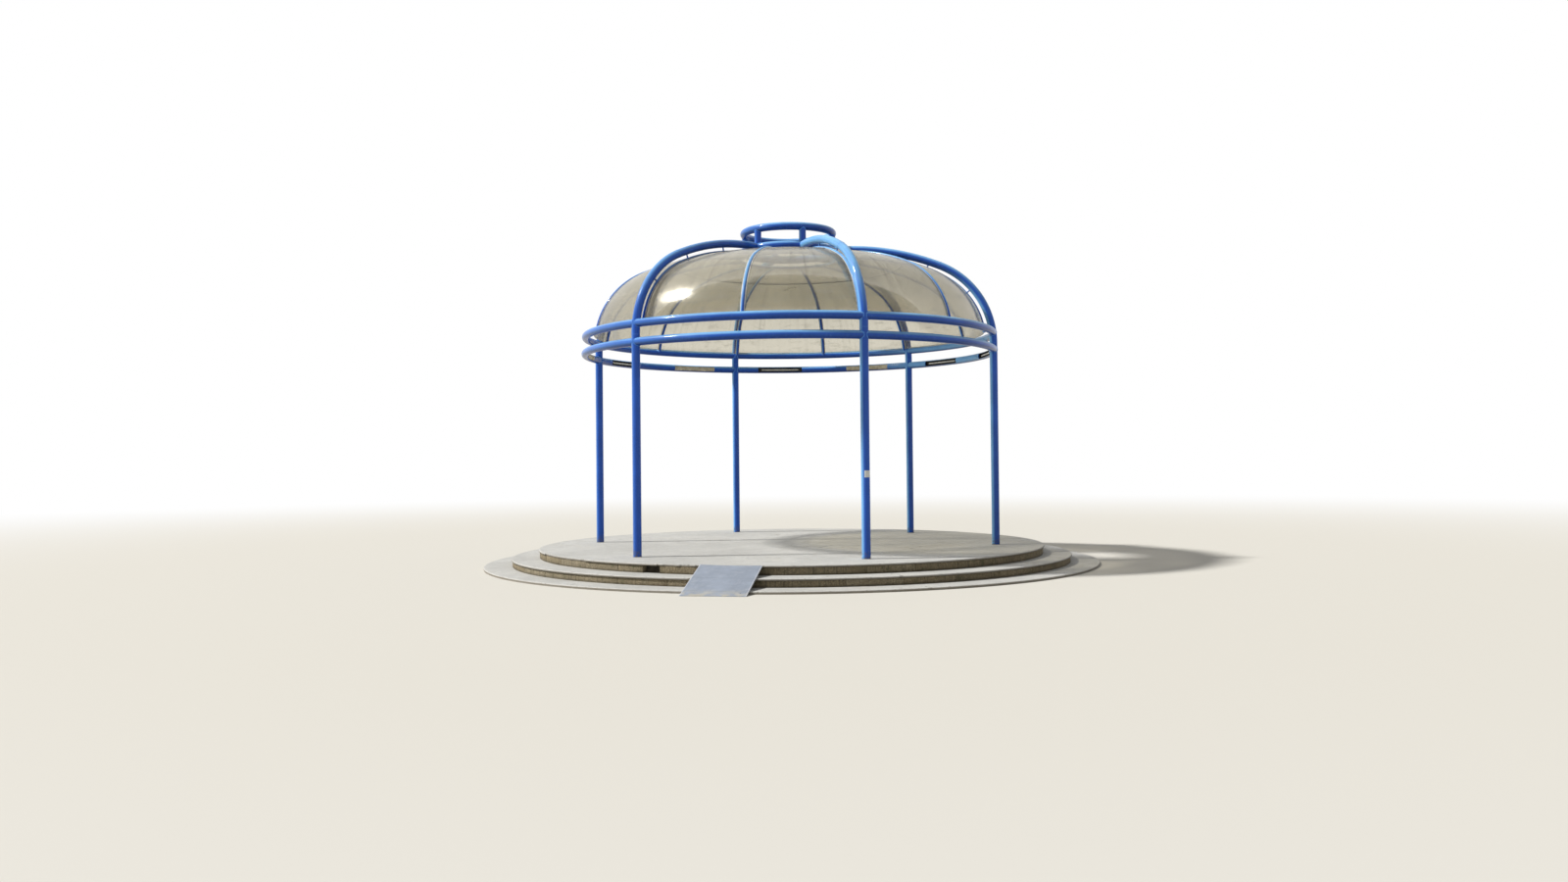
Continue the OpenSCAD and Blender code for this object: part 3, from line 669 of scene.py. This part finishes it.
def weld_bead(bm, azimuths, matrix, pipe_r, bead_r, lift, segments=40, sides=6):
    """Runs a weld round a pipe along +X, pushed along by lift(y, z) so that it hugs its seat."""
    bead = bmesh.new()
    bmesh.ops.create_circle(bead, cap_ends=False, radius=bead_r, segments=sides,
                            matrix=placed(0, pipe_r, pi / 2, "X"))
    spun(bead, [*bead.verts, *bead.edges], (1, 0, 0), tau, segments)
    for vert in bead.verts:
        vert.co.x += lift(vert.co.y, vert.co.z)
    bmesh.ops.transform(bead, matrix=matrix, verts=bead.verts)
    put(bm, bead, *azimuths)


def welds(name, *beads):
    """One piece of several runs of weld, each given as weld_bead takes it."""
    bm = bmesh.new()
    for bead in beads:
        weld_bead(bm, *bead)
    piece(name, bm, bpy.data.materials["blue_paint"])


def seat_on_pipe(pipe_r, across):
    """How far a pipe's round surface stands out from its axis, at a distance across it."""
    across = min(abs(across), pipe_r * 0.999)
    return sqrt(pipe_r ** 2 - across ** 2)


def eaves_centre(steel):
    """Centre of the ribs' bend at the eaves, as (distance from the axis, height)."""
    return Levels.post_circle - steel.eaves_bend, Levels.bend_z


def dome_centre(steel):
    """Centre of the ribs' flatter bend over the dome, in the same way."""
    inward = (steel.dome_bend - steel.eaves_bend) * cos(steel.eaves_turn)
    return eaves_centre(steel)[0] - inward, Levels.crown_z - steel.dome_bend


def upper_beam_r(steel):
    """Distance from the platform's axis to the upper beam, whose height on the ribs' bend is known."""
    rise = asin((Levels.upper_beam_z - Levels.bend_z) / steel.eaves_bend)
    return eaves_centre(steel)[0] + steel.eaves_bend * cos(rise)


def on_course(centre, r, angle):
    """A point on an upright arc, in the plane of +X and +Z."""
    return Vector((centre[0] + r * cos(angle), 0, centre[1] + r * sin(angle)))


def square_to(spot, angle, inward=False):
    """Puts +X square to an upright arc at a spot on it, away from the arc's centre or towards it."""
    way = Matrix.Rotation(pi if inward else 0, 4, "Z")
    return Matrix.Translation(spot) @ Matrix.Rotation(-angle, 4, "Y") @ way


def along_course(centre, r, angle):
    """Puts +X along an upright arc, from a point on it."""
    return square_to(on_course(centre, r, angle), angle + pi / 2)


def on_hoop(ring_r, tube_r):
    """How far a weld along +X lies from the platform's axis, where it sits on a level ring of tube."""
    return lambda y, z: sqrt((ring_r + seat_on_pipe(tube_r, z)) ** 2 - y * y)


def spun(bm, geom, axis, angle, steps, cent=(0, 0, 0)):
    """Spins geometry, closes a whole turn, and gives what the spin ends with."""
    made = bmesh.ops.spin(bm, geom=geom, cent=cent, axis=axis, angle=angle, steps=steps,
                          use_merge=angle > WHOLE_TURN, use_duplicate=False)
    return made["geom_last"]


def rounded(bm, geom, r, segments=2, affect="EDGES"):
    """Rounds edges or corners."""
    bmesh.ops.bevel(bm, geom=geom, offset=r, offset_type="OFFSET", affect=affect, segments=segments,
                    profile=0.5, material=-1)


def spun_course(bm, section, steel, start, end, density):
    """Spins a section over the eaves' bend and on over the dome's, in density steps to the radian."""
    geom = section
    for centre, first, last in ((eaves_centre(steel), start, steel.eaves_turn),
                                (dome_centre(steel), steel.eaves_turn, end)):
        geom = spun(bm, geom, (0, -1, 0), last - first, ceil(density * (last - first)),
                    (centre[0], 0, centre[1]))


def spun_ring(section, angle, steps):
    """A closed section of (radius, height) points, spun from +X round the platform's axis."""
    whole = angle > WHOLE_TURN
    bm = bmesh.new()
    face = bm.faces.new([bm.verts.new((r, 0, z)) for r, z in section])
    spun(bm, [*bm.verts, *bm.edges] + ([] if whole else [face]), UPRIGHT, angle, steps)
    if whole:
        bmesh.ops.delete(bm, geom=[face], context="FACES_ONLY")
    bmesh.ops.recalc_face_normals(bm, faces=bm.faces)
    return bm


def ring_section(inner, outer, low, high):
    """The section of a ring between two radii and two levels."""
    return (inner, low), (outer, low), (outer, high), (inner, high)


def riser_block(section, angle, worn):
    """One block of a riser, with its edges worn round."""
    block = spun_ring(section, angle, ceil(degrees(angle) / BLOCK_FACET))
    rounded(block, [edge for edge in block.edges if edge.calc_face_angle(0) > radians(CORNER)], worn)
    return block


def riser_blocks(name, platform, material, outer, low, high, start, end, node):
    """Sets a ring of blocks between two azimuths, with open joints between them."""
    bm = bmesh.new()
    gap = platform.block_joint / outer / 2
    sway, back = 0.002, 0.001
    for number in range(ceil((end - start) / platform.block_angle - 0.01)):
        first = start + number * platform.block_angle
        last = min(first + platform.block_angle, end)
        proud = sway * noise.noise(Vector((number * 1.7, outer, 0.4))) - back
        section = ring_section(outer - platform.block_depth, outer + proud, low, high)
        block = riser_block(section, last - first - 2 * gap, platform.block_worn)
        put(bm, block, degrees(first + gap))
    piece(name, bm, material, sharp=WORN_EDGE, replaced=(node,))


class BANDSTAND_OT_steelwork(bpy.types.Operator):
    """Paint the posts, ribs, ring beams, crown and glazing bars"""
    bl_idname = "bandstand.steelwork"
    bl_label = "Steelwork"

    def execute(self, context):
        paint = blue_paint(context.scene.bandstand_steel)
        for kind in ("post", "rib"):
            dress(paint, "blue_paint", *(f"{kind}_{side}" for side in SIDES))
        for kind in ("lower_beam", "upper_beam"):
            dress(paint, "blue_paint", *(f"{kind}_{bay}" for bay in BAYS))
        dress(paint, "blue_paint", "crown_base_ring", "crown_top_ring", "crown_posts")
        dress(paint, "blue_paint", "oculus_hoop", "glazing_bars", "glazing_stubs")
        return {"FINISHED"}


class BANDSTAND_OT_frame_welds(bpy.types.Operator):
    """Lay the welds of the ring beams, the ribs and the crown"""
    bl_idname = "bandstand.frame_welds"
    bl_label = "Frame's welds"

    def execute(self, context):
        steel = context.scene.bandstand_steel
        self.beam_welds(steel)
        self.girth_welds(steel)
        self.crown_welds(steel)
        return {"FINISHED"}

    def beam_welds(self, steel):
        """Saddle welds of both ring beams on the posts and ribs."""
        rings = ((Levels.post_circle, Levels.lower_beam_z), (upper_beam_r(steel), Levels.upper_beam_z))
        ends = [placed(r, z, way * pi / 2) for r, z in rings for way in (-1, 1)]
        welds("beam_welds", *(
            (POST_AZIMUTHS, end, Levels.beam_r, steel.weld_r,
             lambda y, z: max(steel.beam_trim, seat_on_pipe(Levels.post_r, y))) for end in ends))

    def girth_welds(self, steel):
        """Welds round the ribs, at the post's top and between their two bends."""
        welds("girth_welds", *(
            (POST_AZIMUTHS, along_course(eaves_centre(steel), steel.eaves_bend, angle), Levels.post_r,
             steel.girth_weld_r, lambda y, z: 0) for angle in (0, steel.eaves_turn)))

    def crown_welds(self, steel):
        """Welds of the ribs and of the short posts on the crown's rings."""
        ends = [placed(Levels.crown_r, z, turn, "Y")
                for z, turn in ((Levels.crown_z, -pi / 2), (Levels.crown_top_z, pi / 2))]
        on_ring = on_hoop(Levels.crown_r, Levels.crown_tube_r)
        level = placed(0, Levels.crown_z)
        welds("crown_welds", (POST_AZIMUTHS, level, Levels.post_r, steel.weld_r, on_ring), *(
            (POST_AZIMUTHS, end, steel.crown_post_r, steel.weld_r,
             lambda y, z: seat_on_pipe(Levels.crown_tube_r, z)) for end in ends))


class BANDSTAND_OT_glazing_welds(bpy.types.Operator):
    """Lay the welds of the stubs and of the glazing bars"""
    bl_idname = "bandstand.glazing_welds"
    bl_label = "Glazing's welds"

    def execute(self, context):
        steel = context.scene.bandstand_steel
        glazing = context.scene.bandstand_glazing
        self.rib_stub_welds(steel, glazing)
        self.foot_stub_welds(steel, glazing)
        self.bar_welds(steel, glazing)
        return {"FINISHED"}

    def rib_stub_welds(self, steel, glazing):
        """Fine welds at both ends of the stubs under the ribs."""
        eaves, dome = eaves_centre(steel), dome_centre(steel)
        foot = asin((Levels.upper_beam_z + glazing.foot_stub - Levels.bend_z)
                    / (steel.eaves_bend - glazing.drop))
        places = ((eaves, steel.eaves_bend, foot), (eaves, steel.eaves_bend, glazing.eaves_stub),
                  (dome, steel.dome_bend, glazing.dome_stub), (dome, steel.dome_bend, glazing.crown_stub))
        beads = []
        for centre, bend, angle in places:
            for r, inward, seat in ((bend, True, Levels.post_r),
                                    (bend - glazing.drop, False, glazing.bar_r)):
                end = square_to(on_course(centre, r, angle), angle, inward)
                beads.append((POST_AZIMUTHS, end, glazing.stub_r, steel.fine_weld_r,
                              lambda y, z, seat=seat: seat_on_pipe(seat, y), *STUB_BEAD))
        welds("rib_stub_welds", *beads)

    def foot_stub_welds(self, steel, glazing):
        """Fine welds at both ends of the level stubs at the bays' middles."""
        inner_bend = steel.eaves_bend - glazing.drop
        level = Levels.upper_beam_z + glazing.foot_stub
        lean = asin((level - Levels.bend_z) / inner_bend)
        on_beam = placed(upper_beam_r(steel), level, pi)
        on_bar = placed(eaves_centre(steel)[0] + inner_bend * cos(lean), level)
        welds("foot_stub_welds",
              (BAY_AZIMUTHS, on_beam, glazing.stub_r, steel.fine_weld_r,
               lambda y, z: seat_on_pipe(Levels.beam_r, z + glazing.foot_stub), *STUB_BEAD),
              (BAY_AZIMUTHS, on_bar, glazing.stub_r, steel.fine_weld_r,
               lambda y, z: seat_on_pipe(glazing.bar_r, y) / cos(lean) - z * tan(lean), *STUB_BEAD))

    def bar_welds(self, steel, glazing):
        """Fine welds of the glazing bars on the hoop, and round the bars between their two bends."""
        bars = POST_AZIMUTHS + BAY_AZIMUTHS
        level = placed(0, Levels.hoop_z)
        joint = along_course(eaves_centre(steel), steel.eaves_bend - glazing.drop, steel.eaves_turn)
        on_ring = on_hoop(Levels.hoop_r, Levels.hoop_tube_r)
        welds("bar_welds",
              (bars, level, glazing.bar_r, steel.fine_weld_r, on_ring, *BAR_BEAD),
              (bars, joint, glazing.bar_r, steel.girth_weld_r, lambda y, z: 0, *BAR_BEAD))


class BANDSTAND_OT_foot_seals(bpy.types.Operator):
    """Run a seal round each post where it enters the deck"""
    bl_idname = "bandstand.foot_seals"
    bl_label = "Foot seals"

    def execute(self, context):
        steel = context.scene.bandstand_steel
        bm = bmesh.new()
        foot = placed(Levels.post_circle, Levels.deck_z, -pi / 2, "Y")
        uneven, ripples = 0.0012, 30
        for azimuth in POST_AZIMUTHS:
            weld_bead(bm, (azimuth,), foot, Levels.post_r + steel.seal_gap, steel.seal_r,
                      lambda y, z: uneven * noise.noise(Vector((y * ripples, z * ripples, azimuth))),
                      *SEAL_BEAD)
        piece("foot_seals", bm, dark_seal())
        return {"FINISHED"}


class BANDSTAND_OT_label(bpy.types.Operator):
    """Stick a blank label on the front right post"""
    bl_idname = "bandstand.label"
    bl_label = "Blank label"

    def execute(self, context):
        steel = context.scene.bandstand_steel
        low, high = steel.label_low, steel.label_low + steel.label_w
        half = steel.label_w / Levels.post_r / 2
        bm = bmesh.new()
        ends = [bm.verts.new((Levels.post_r + CLEAR, 0, z)) for z in (low, high)]
        side = bm.edges.new(ends)
        bmesh.ops.rotate(bm, cent=(0, 0, 0), matrix=Matrix.Rotation(-half, 3, "Z"), verts=ends)
        spun(bm, [*ends, side], UPRIGHT, 2 * half, steps=20)
        corners = [vert for vert in bm.verts if len(vert.link_edges) == 2]
        rounded(bm, corners, steel.label_corner, 3, "VERTICES")
        bmesh.ops.recalc_face_normals(bm, faces=bm.faces)
        bmesh.ops.solidify(bm, geom=bm.faces[:], thickness=-steel.label_t)
        post = turned(POST_AZIMUTHS[SIDES.index("front_right")])
        facing = post @ placed(Levels.post_circle, 0, steel.label_turn)
        bmesh.ops.transform(bm, matrix=facing, verts=bm.verts)
        piece("blank_label", bm, blank_label(steel))
        return {"FINISHED"}


class BANDSTAND_OT_panels(bpy.types.Operator):
    """Tint the dome's panels"""
    bl_idname = "bandstand.panels"
    bl_label = "Dome panels"

    def execute(self, context):
        tinted = tinted_panel(context.scene.bandstand_glazing)
        dress(tinted, "tinted_panel", *(f"dome_panels_{bay}" for bay in BAYS))
        return {"FINISHED"}


class BANDSTAND_OT_panel_strips(bpy.types.Operator):
    """Lay the strips beside the glazing bars and over the panels' joints"""
    bl_idname = "bandstand.panel_strips"
    bl_label = "Panel strips"

    def execute(self, context):
        steel = context.scene.bandstand_steel
        glazing = context.scene.bandstand_glazing
        self.edge_strips(steel, glazing)
        self.joint_strips(steel, glazing)
        return {"FINISHED"}

    def edge_strips(self, steel, glazing):
        """A pale strip on each side of every glazing bar."""
        bm = bmesh.new()
        inner_bend, lift = steel.eaves_bend - glazing.drop, 0.0005
        start = asin((Levels.upper_beam_z + glazing.foot_rise - Levels.bend_z) / inner_bend)
        past_hoop = dome_centre(steel)[0] - Levels.hoop_r - Levels.hoop_tube_r
        end = pi / 2 + asin(past_hoop / (steel.dome_bend - glazing.drop))
        reach = inner_bend + glazing.panel_t / 2 + lift
        for way in (-1, 1):
            near = way * (glazing.bar_r - glazing.strip_lap)
            far = way * (glazing.bar_r + glazing.strip_w)
            strip = bmesh.new()
            for side, out in ((near, 0), (far, 0), (far, glazing.strip_t), (near, glazing.strip_t)):
                spot = on_course(eaves_centre(steel), reach + out, start)
                strip.verts.new((spot.x, side, spot.z))
            strip.faces.new(strip.verts)
            spun_course(strip, [*strip.verts, *strip.edges, *strip.faces], steel, start, end,
                        density=40)
            bmesh.ops.recalc_face_normals(strip, faces=strip.faces)
            put(bm, strip, *POST_AZIMUTHS, *BAY_AZIMUTHS)
        piece("edge_strips", bm, seal_strip(glazing), sharp=WORN_EDGE)

    def joint_strips(self, steel, glazing):
        """A dark strip on each face of the joint between the upper and the lower panels."""
        dome = dome_centre(steel)
        bend = steel.dome_bend - glazing.drop
        angle = acos((glazing.joint_r - dome[0]) / bend)
        half = glazing.joint_w / bend / 2
        low, high = 2 * CLEAR, 2 * CLEAR + glazing.joint_t
        bm = bmesh.new()
        for way in (-1, 1):
            spots = [on_course(dome, bend + way * (glazing.panel_t / 2 + out), angle + turn)
                     for turn, out in ((-half, low), (half, low), (half, high), (-half, high))]
            put(bm, spun_ring([(spot.x, spot.z) for spot in spots], tau, steps=180), 0)
        piece("joint_strips", bm, bpy.data.materials["dark_seal"], sharp=WORN_EDGE)


class BANDSTAND_OT_paving(bpy.types.Operator):
    """Finish the paving of the deck and the two steps"""
    bl_idname = "bandstand.paving"
    bl_label = "Paving"

    def execute(self, context):
        platform = context.scene.bandstand_platform
        deck = paving_concrete(platform, "deck_concrete", Levels.deck_r, Levels.deck_z)
        step = paving_concrete(platform, "step_concrete", Levels.step_r, Levels.step_z)
        kerb = paving_concrete(platform, "kerb_concrete", Levels.kerb_r, Levels.kerb_z)
        dress(deck, "slab_concrete", "deck_slab")
        dress(step, "slab_concrete", "middle_slab")
        dress(kerb, "slab_concrete", "bottom_slab")
        return {"FINISHED"}


class BANDSTAND_OT_risers(bpy.types.Operator):
    """Set the risers' blocks and the mortar behind them"""
    bl_idname = "bandstand.risers"
    bl_label = "Risers"

    def execute(self, context):
        platform = context.scene.bandstand_platform
        self.deck_riser(platform)
        self.step_riser(platform)
        self.mortar(platform)
        return {"FINISHED"}

    def deck_riser(self, platform):
        """The deck riser's blocks, with the place of one left empty."""
        low, high = Levels.step_z, Levels.deck_z - Levels.slab_t
        finish = riser_aggregate(platform, "deck_blocks", platform.deck_joint, low, high)
        riser_blocks("deck_riser_blocks", platform, finish, Levels.deck_riser_r, low, high,
                     platform.deck_joint, platform.deck_joint + tau - platform.hole_angle,
                     "deck_riser")

    def step_riser(self, platform):
        """The step riser's blocks, a whole ring."""
        high = Levels.step_z - Levels.step_t
        finish = riser_aggregate(platform, "step_blocks", platform.step_joint, Levels.kerb_z, high)
        riser_blocks("step_riser_blocks", platform, finish, Levels.step_riser_r, 0, high,
                     platform.step_joint, platform.step_joint + tau, "platform_core")

    def mortar(self, platform):
        """The mass behind the blocks, which shows in the joints and in the empty place."""
        finish = bed_mortar()
        face = Levels.step_riser_r - platform.mortar_in
        back = Levels.deck_riser_r - platform.block_bed
        step_bed, deck_bed = Levels.step_z - Levels.step_t, Levels.deck_z - Levels.slab_t
        bm = bmesh.new()
        outline = ((0, 0), (face, 0), (face, step_bed), (back, step_bed), (back, deck_bed), (0, deck_bed))
        verts = [bm.verts.new((r, 0, z)) for r, z in outline]
        edges = [bm.edges.new(pair) for pair in zip(verts, verts[1:])]
        spun(bm, verts + edges, UPRIGHT, tau, steps=144)
        piece("core_mass", bm, finish, sharp=WORN_EDGE, replaced=("platform_core",))
        bm = bmesh.new()
        hole, inset, lap = platform.hole_angle, 0.002, 0.010
        whole = (platform.deck_joint + inset, tau - hole - 2 * inset, platform.mortar_in, 200)
        empty = (platform.deck_joint - hole - lap, hole + 2 * lap, platform.block_depth, 6)
        for start, angle, depth, steps in (whole, empty):
            section = ring_section(back + CLEAR, Levels.deck_riser_r - depth, Levels.step_z, deck_bed)
            put(bm, spun_ring(section, angle, steps), degrees(start))
        piece("riser_mortar", bm, finish, sharp=WORN_EDGE, replaced=("deck_riser",))


class BANDSTAND_OT_ramp(bpy.types.Operator):
    """Paint the ramp"""
    bl_idname = "bandstand.ramp"
    bl_label = "Ramp"

    def execute(self, context):
        dress(ramp_paint(context.scene.bandstand_platform), "ramp_paint", "access_ramp")
        return {"FINISHED"}


class BANDSTAND_OT_lamps(bpy.types.Operator):
    """Finish the lamps in the lower ring beam and cap their tubes"""
    bl_idname = "bandstand.lamps"
    bl_label = "Lamps"

    def execute(self, context):
        lamps = context.scene.bandstand_lamps
        dress(tray_enamel(), "tray_paint", "lamp_trays")
        dress(lamp_glass(), "lamp_glass", "lamp_tubes")
        dress(cover_plastic(), "cover_plastic", "lamp_covers")
        bm = bmesh.new()
        turn = degrees(lamps.offset)
        for way in (-1, 1):
            cap = self.tube_cap(lamps, way)
            put(bm, cap, *(bay + side * turn for bay in BAY_AZIMUTHS for side in (-1, 1)))
        piece("tube_caps", bm, cap_metal(), sharp=WORN_EDGE)
        return {"FINISHED"}

    def tube_cap(self, lamps, way):
        """A cap over the end of a tube, with a rounded rim on its inner side."""
        cap = bmesh.new()
        r = lamps.tube_r + lamps.cap_t
        bmesh.ops.create_cone(cap, cap_ends=True, segments=24, radius1=r, radius2=r, depth=lamps.cap_l)
        rim = [edge for edge in cap.edges if all(vert.co.z < 0 for vert in edge.verts)]
        rounded(cap, rim, lamps.cap_rim)
        along = way * (lamps.tube_l - lamps.cap_l) / 2
        place = Matrix.Translation((lamps.place, along, Levels.lower_beam_z))
        bmesh.ops.transform(cap, matrix=place @ Matrix.Rotation(-way * pi / 2, 4, "X"), verts=cap.verts)
        return cap


class BANDSTAND_OT_stage(bpy.types.Operator):
    """Set the floor, the light and the camera"""
    bl_idname = "bandstand.stage"
    bl_label = "Stage"

    def execute(self, context):
        stage = context.scene.bandstand_stage
        self.floor(stage)
        self.room(context, stage)
        self.key(stage)
        self.camera(context, stage)
        context.scene.view_settings.view_transform = "Standard"
        return {"FINISHED"}

    def floor(self, stage):
        """A plain pale floor that turns white far away."""
        f = Finish("pale_floor")
        seen = f.wave(f.node("LightPath").outputs["Is Camera Ray"])
        paint = f.surface(stage.floor, 0.9)
        white = f.node("Emission", {}, {"Color": WHITE, "Strength": 1.0}).outputs[0]
        share = f.out.fade(stage.floor_plain, stage.floor_white) * seen
        material = f.done(f.node("MixShader", {}, {0: share, 1: paint, 2: white}).outputs["Shader"])
        bm = bmesh.new()
        bmesh.ops.create_circle(bm, cap_ends=True, radius=stage.floor_r, segments=128,
                                matrix=placed(0, FLOOR_Z))
        shown("floor", bm, material)

    def room(self, context, stage):
        """Even light all round, and a white background, also in what metal and glass show."""
        world = bpy.data.worlds.new("room")
        world.use_nodes = True
        room = Nodes(world.node_tree)
        path = room.node("LightPath").outputs
        seen = room.wave(path["Is Camera Ray"])
        seen = seen.most(path["Is Transmission Ray"]).most(path["Is Glossy Ray"])
        light, white = (room.node("Background", {}, {"Color": WHITE, "Strength": strength}).outputs[0]
                        for strength in (stage.room_strength, 1.0))
        both = room.node("MixShader", {}, {0: seen, 1: light, 2: white}).outputs[0]
        room.node("OutputWorld", {}, {"Surface": both})
        context.scene.world = world

    def key(self, stage):
        """A soft light from the left, like a hazy sun."""
        light = bpy.data.lights.new("key_light", "SUN")
        light.energy = stage.key_strength
        light.angle = stage.key_spread
        light.color = WARM
        lamp = bpy.data.objects.new("key_light", light)
        tilt = Matrix.Rotation(pi / 2 - stage.key_height, 4, "X")
        lamp.matrix_world = Matrix.Rotation(stage.key_azimuth, 4, "Z") @ tilt
        bpy.context.scene.collection.objects.link(lamp)

    def camera(self, context, stage):
        """A camera at the photograph's place and angle."""
        lens = bpy.data.cameras.new("camera")
        lens.lens = stage.lens
        lens.sensor_width = 36
        lens.clip_end = 500
        camera = bpy.data.objects.new("camera", lens)
        camera.matrix_world = (
            Matrix.Translation((stage.camera_x, stage.camera_y, stage.camera_z))
            @ Matrix.Rotation(stage.heading, 4, "Z")
            @ Matrix.Rotation(pi / 2 + stage.pitch, 4, "X")
            @ Matrix.Rotation(stage.roll, 4, "Z")
        )
        context.scene.collection.objects.link(camera)
        context.scene.camera = camera


SETTINGS = (
    ("bandstand_steel", SteelSettings),
    ("bandstand_glazing", GlazingSettings),
    ("bandstand_platform", PlatformSettings),
    ("bandstand_lamps", LampSettings),
    ("bandstand_stage", StageSettings),
)

OPERATORS = (
    BANDSTAND_OT_steelwork,
    BANDSTAND_OT_frame_welds,
    BANDSTAND_OT_glazing_welds,
    BANDSTAND_OT_foot_seals,
    BANDSTAND_OT_label,
    BANDSTAND_OT_panels,
    BANDSTAND_OT_panel_strips,
    BANDSTAND_OT_paving,
    BANDSTAND_OT_risers,
    BANDSTAND_OT_ramp,
    BANDSTAND_OT_lamps,
    BANDSTAND_OT_stage,
)


class BANDSTAND_PT_parts(bpy.types.Panel):
    """Lists the bandstand's parts"""
    bl_idname = "BANDSTAND_PT_parts"
    bl_label = "Bandstand"
    bl_space_type = "VIEW_3D"
    bl_region_type = "UI"
    bl_category = "Bandstand"

    def draw(self, context):
        for name, group in SETTINGS:
            box = self.layout.box()
            settings = getattr(context.scene, name)
            for key in group.__annotations__:
                box.prop(settings, key)
        for operator in OPERATORS:
            self.layout.operator(operator.bl_idname)


def register():
    for name, group in SETTINGS:
        bpy.utils.register_class(group)
        setattr(bpy.types.Scene, name, PointerProperty(type=group))
    for kind in OPERATORS + (BANDSTAND_PT_parts,):
        bpy.utils.register_class(kind)


def unregister():
    for kind in reversed(OPERATORS + (BANDSTAND_PT_parts,)):
        bpy.utils.unregister_class(kind)
    for name, group in reversed(SETTINGS):
        delattr(bpy.types.Scene, name)
        bpy.utils.unregister_class(group)


def main():
    register()
    bpy.ops.bandstand.steelwork()
    bpy.ops.bandstand.frame_welds()
    bpy.ops.bandstand.glazing_welds()
    bpy.ops.bandstand.foot_seals()
    bpy.ops.bandstand.label()
    bpy.ops.bandstand.panels()
    bpy.ops.bandstand.panel_strips()
    bpy.ops.bandstand.paving()
    bpy.ops.bandstand.risers()
    bpy.ops.bandstand.ramp()
    bpy.ops.bandstand.lamps()
    bpy.ops.bandstand.stage()


if __name__ == "__main__":
    main()
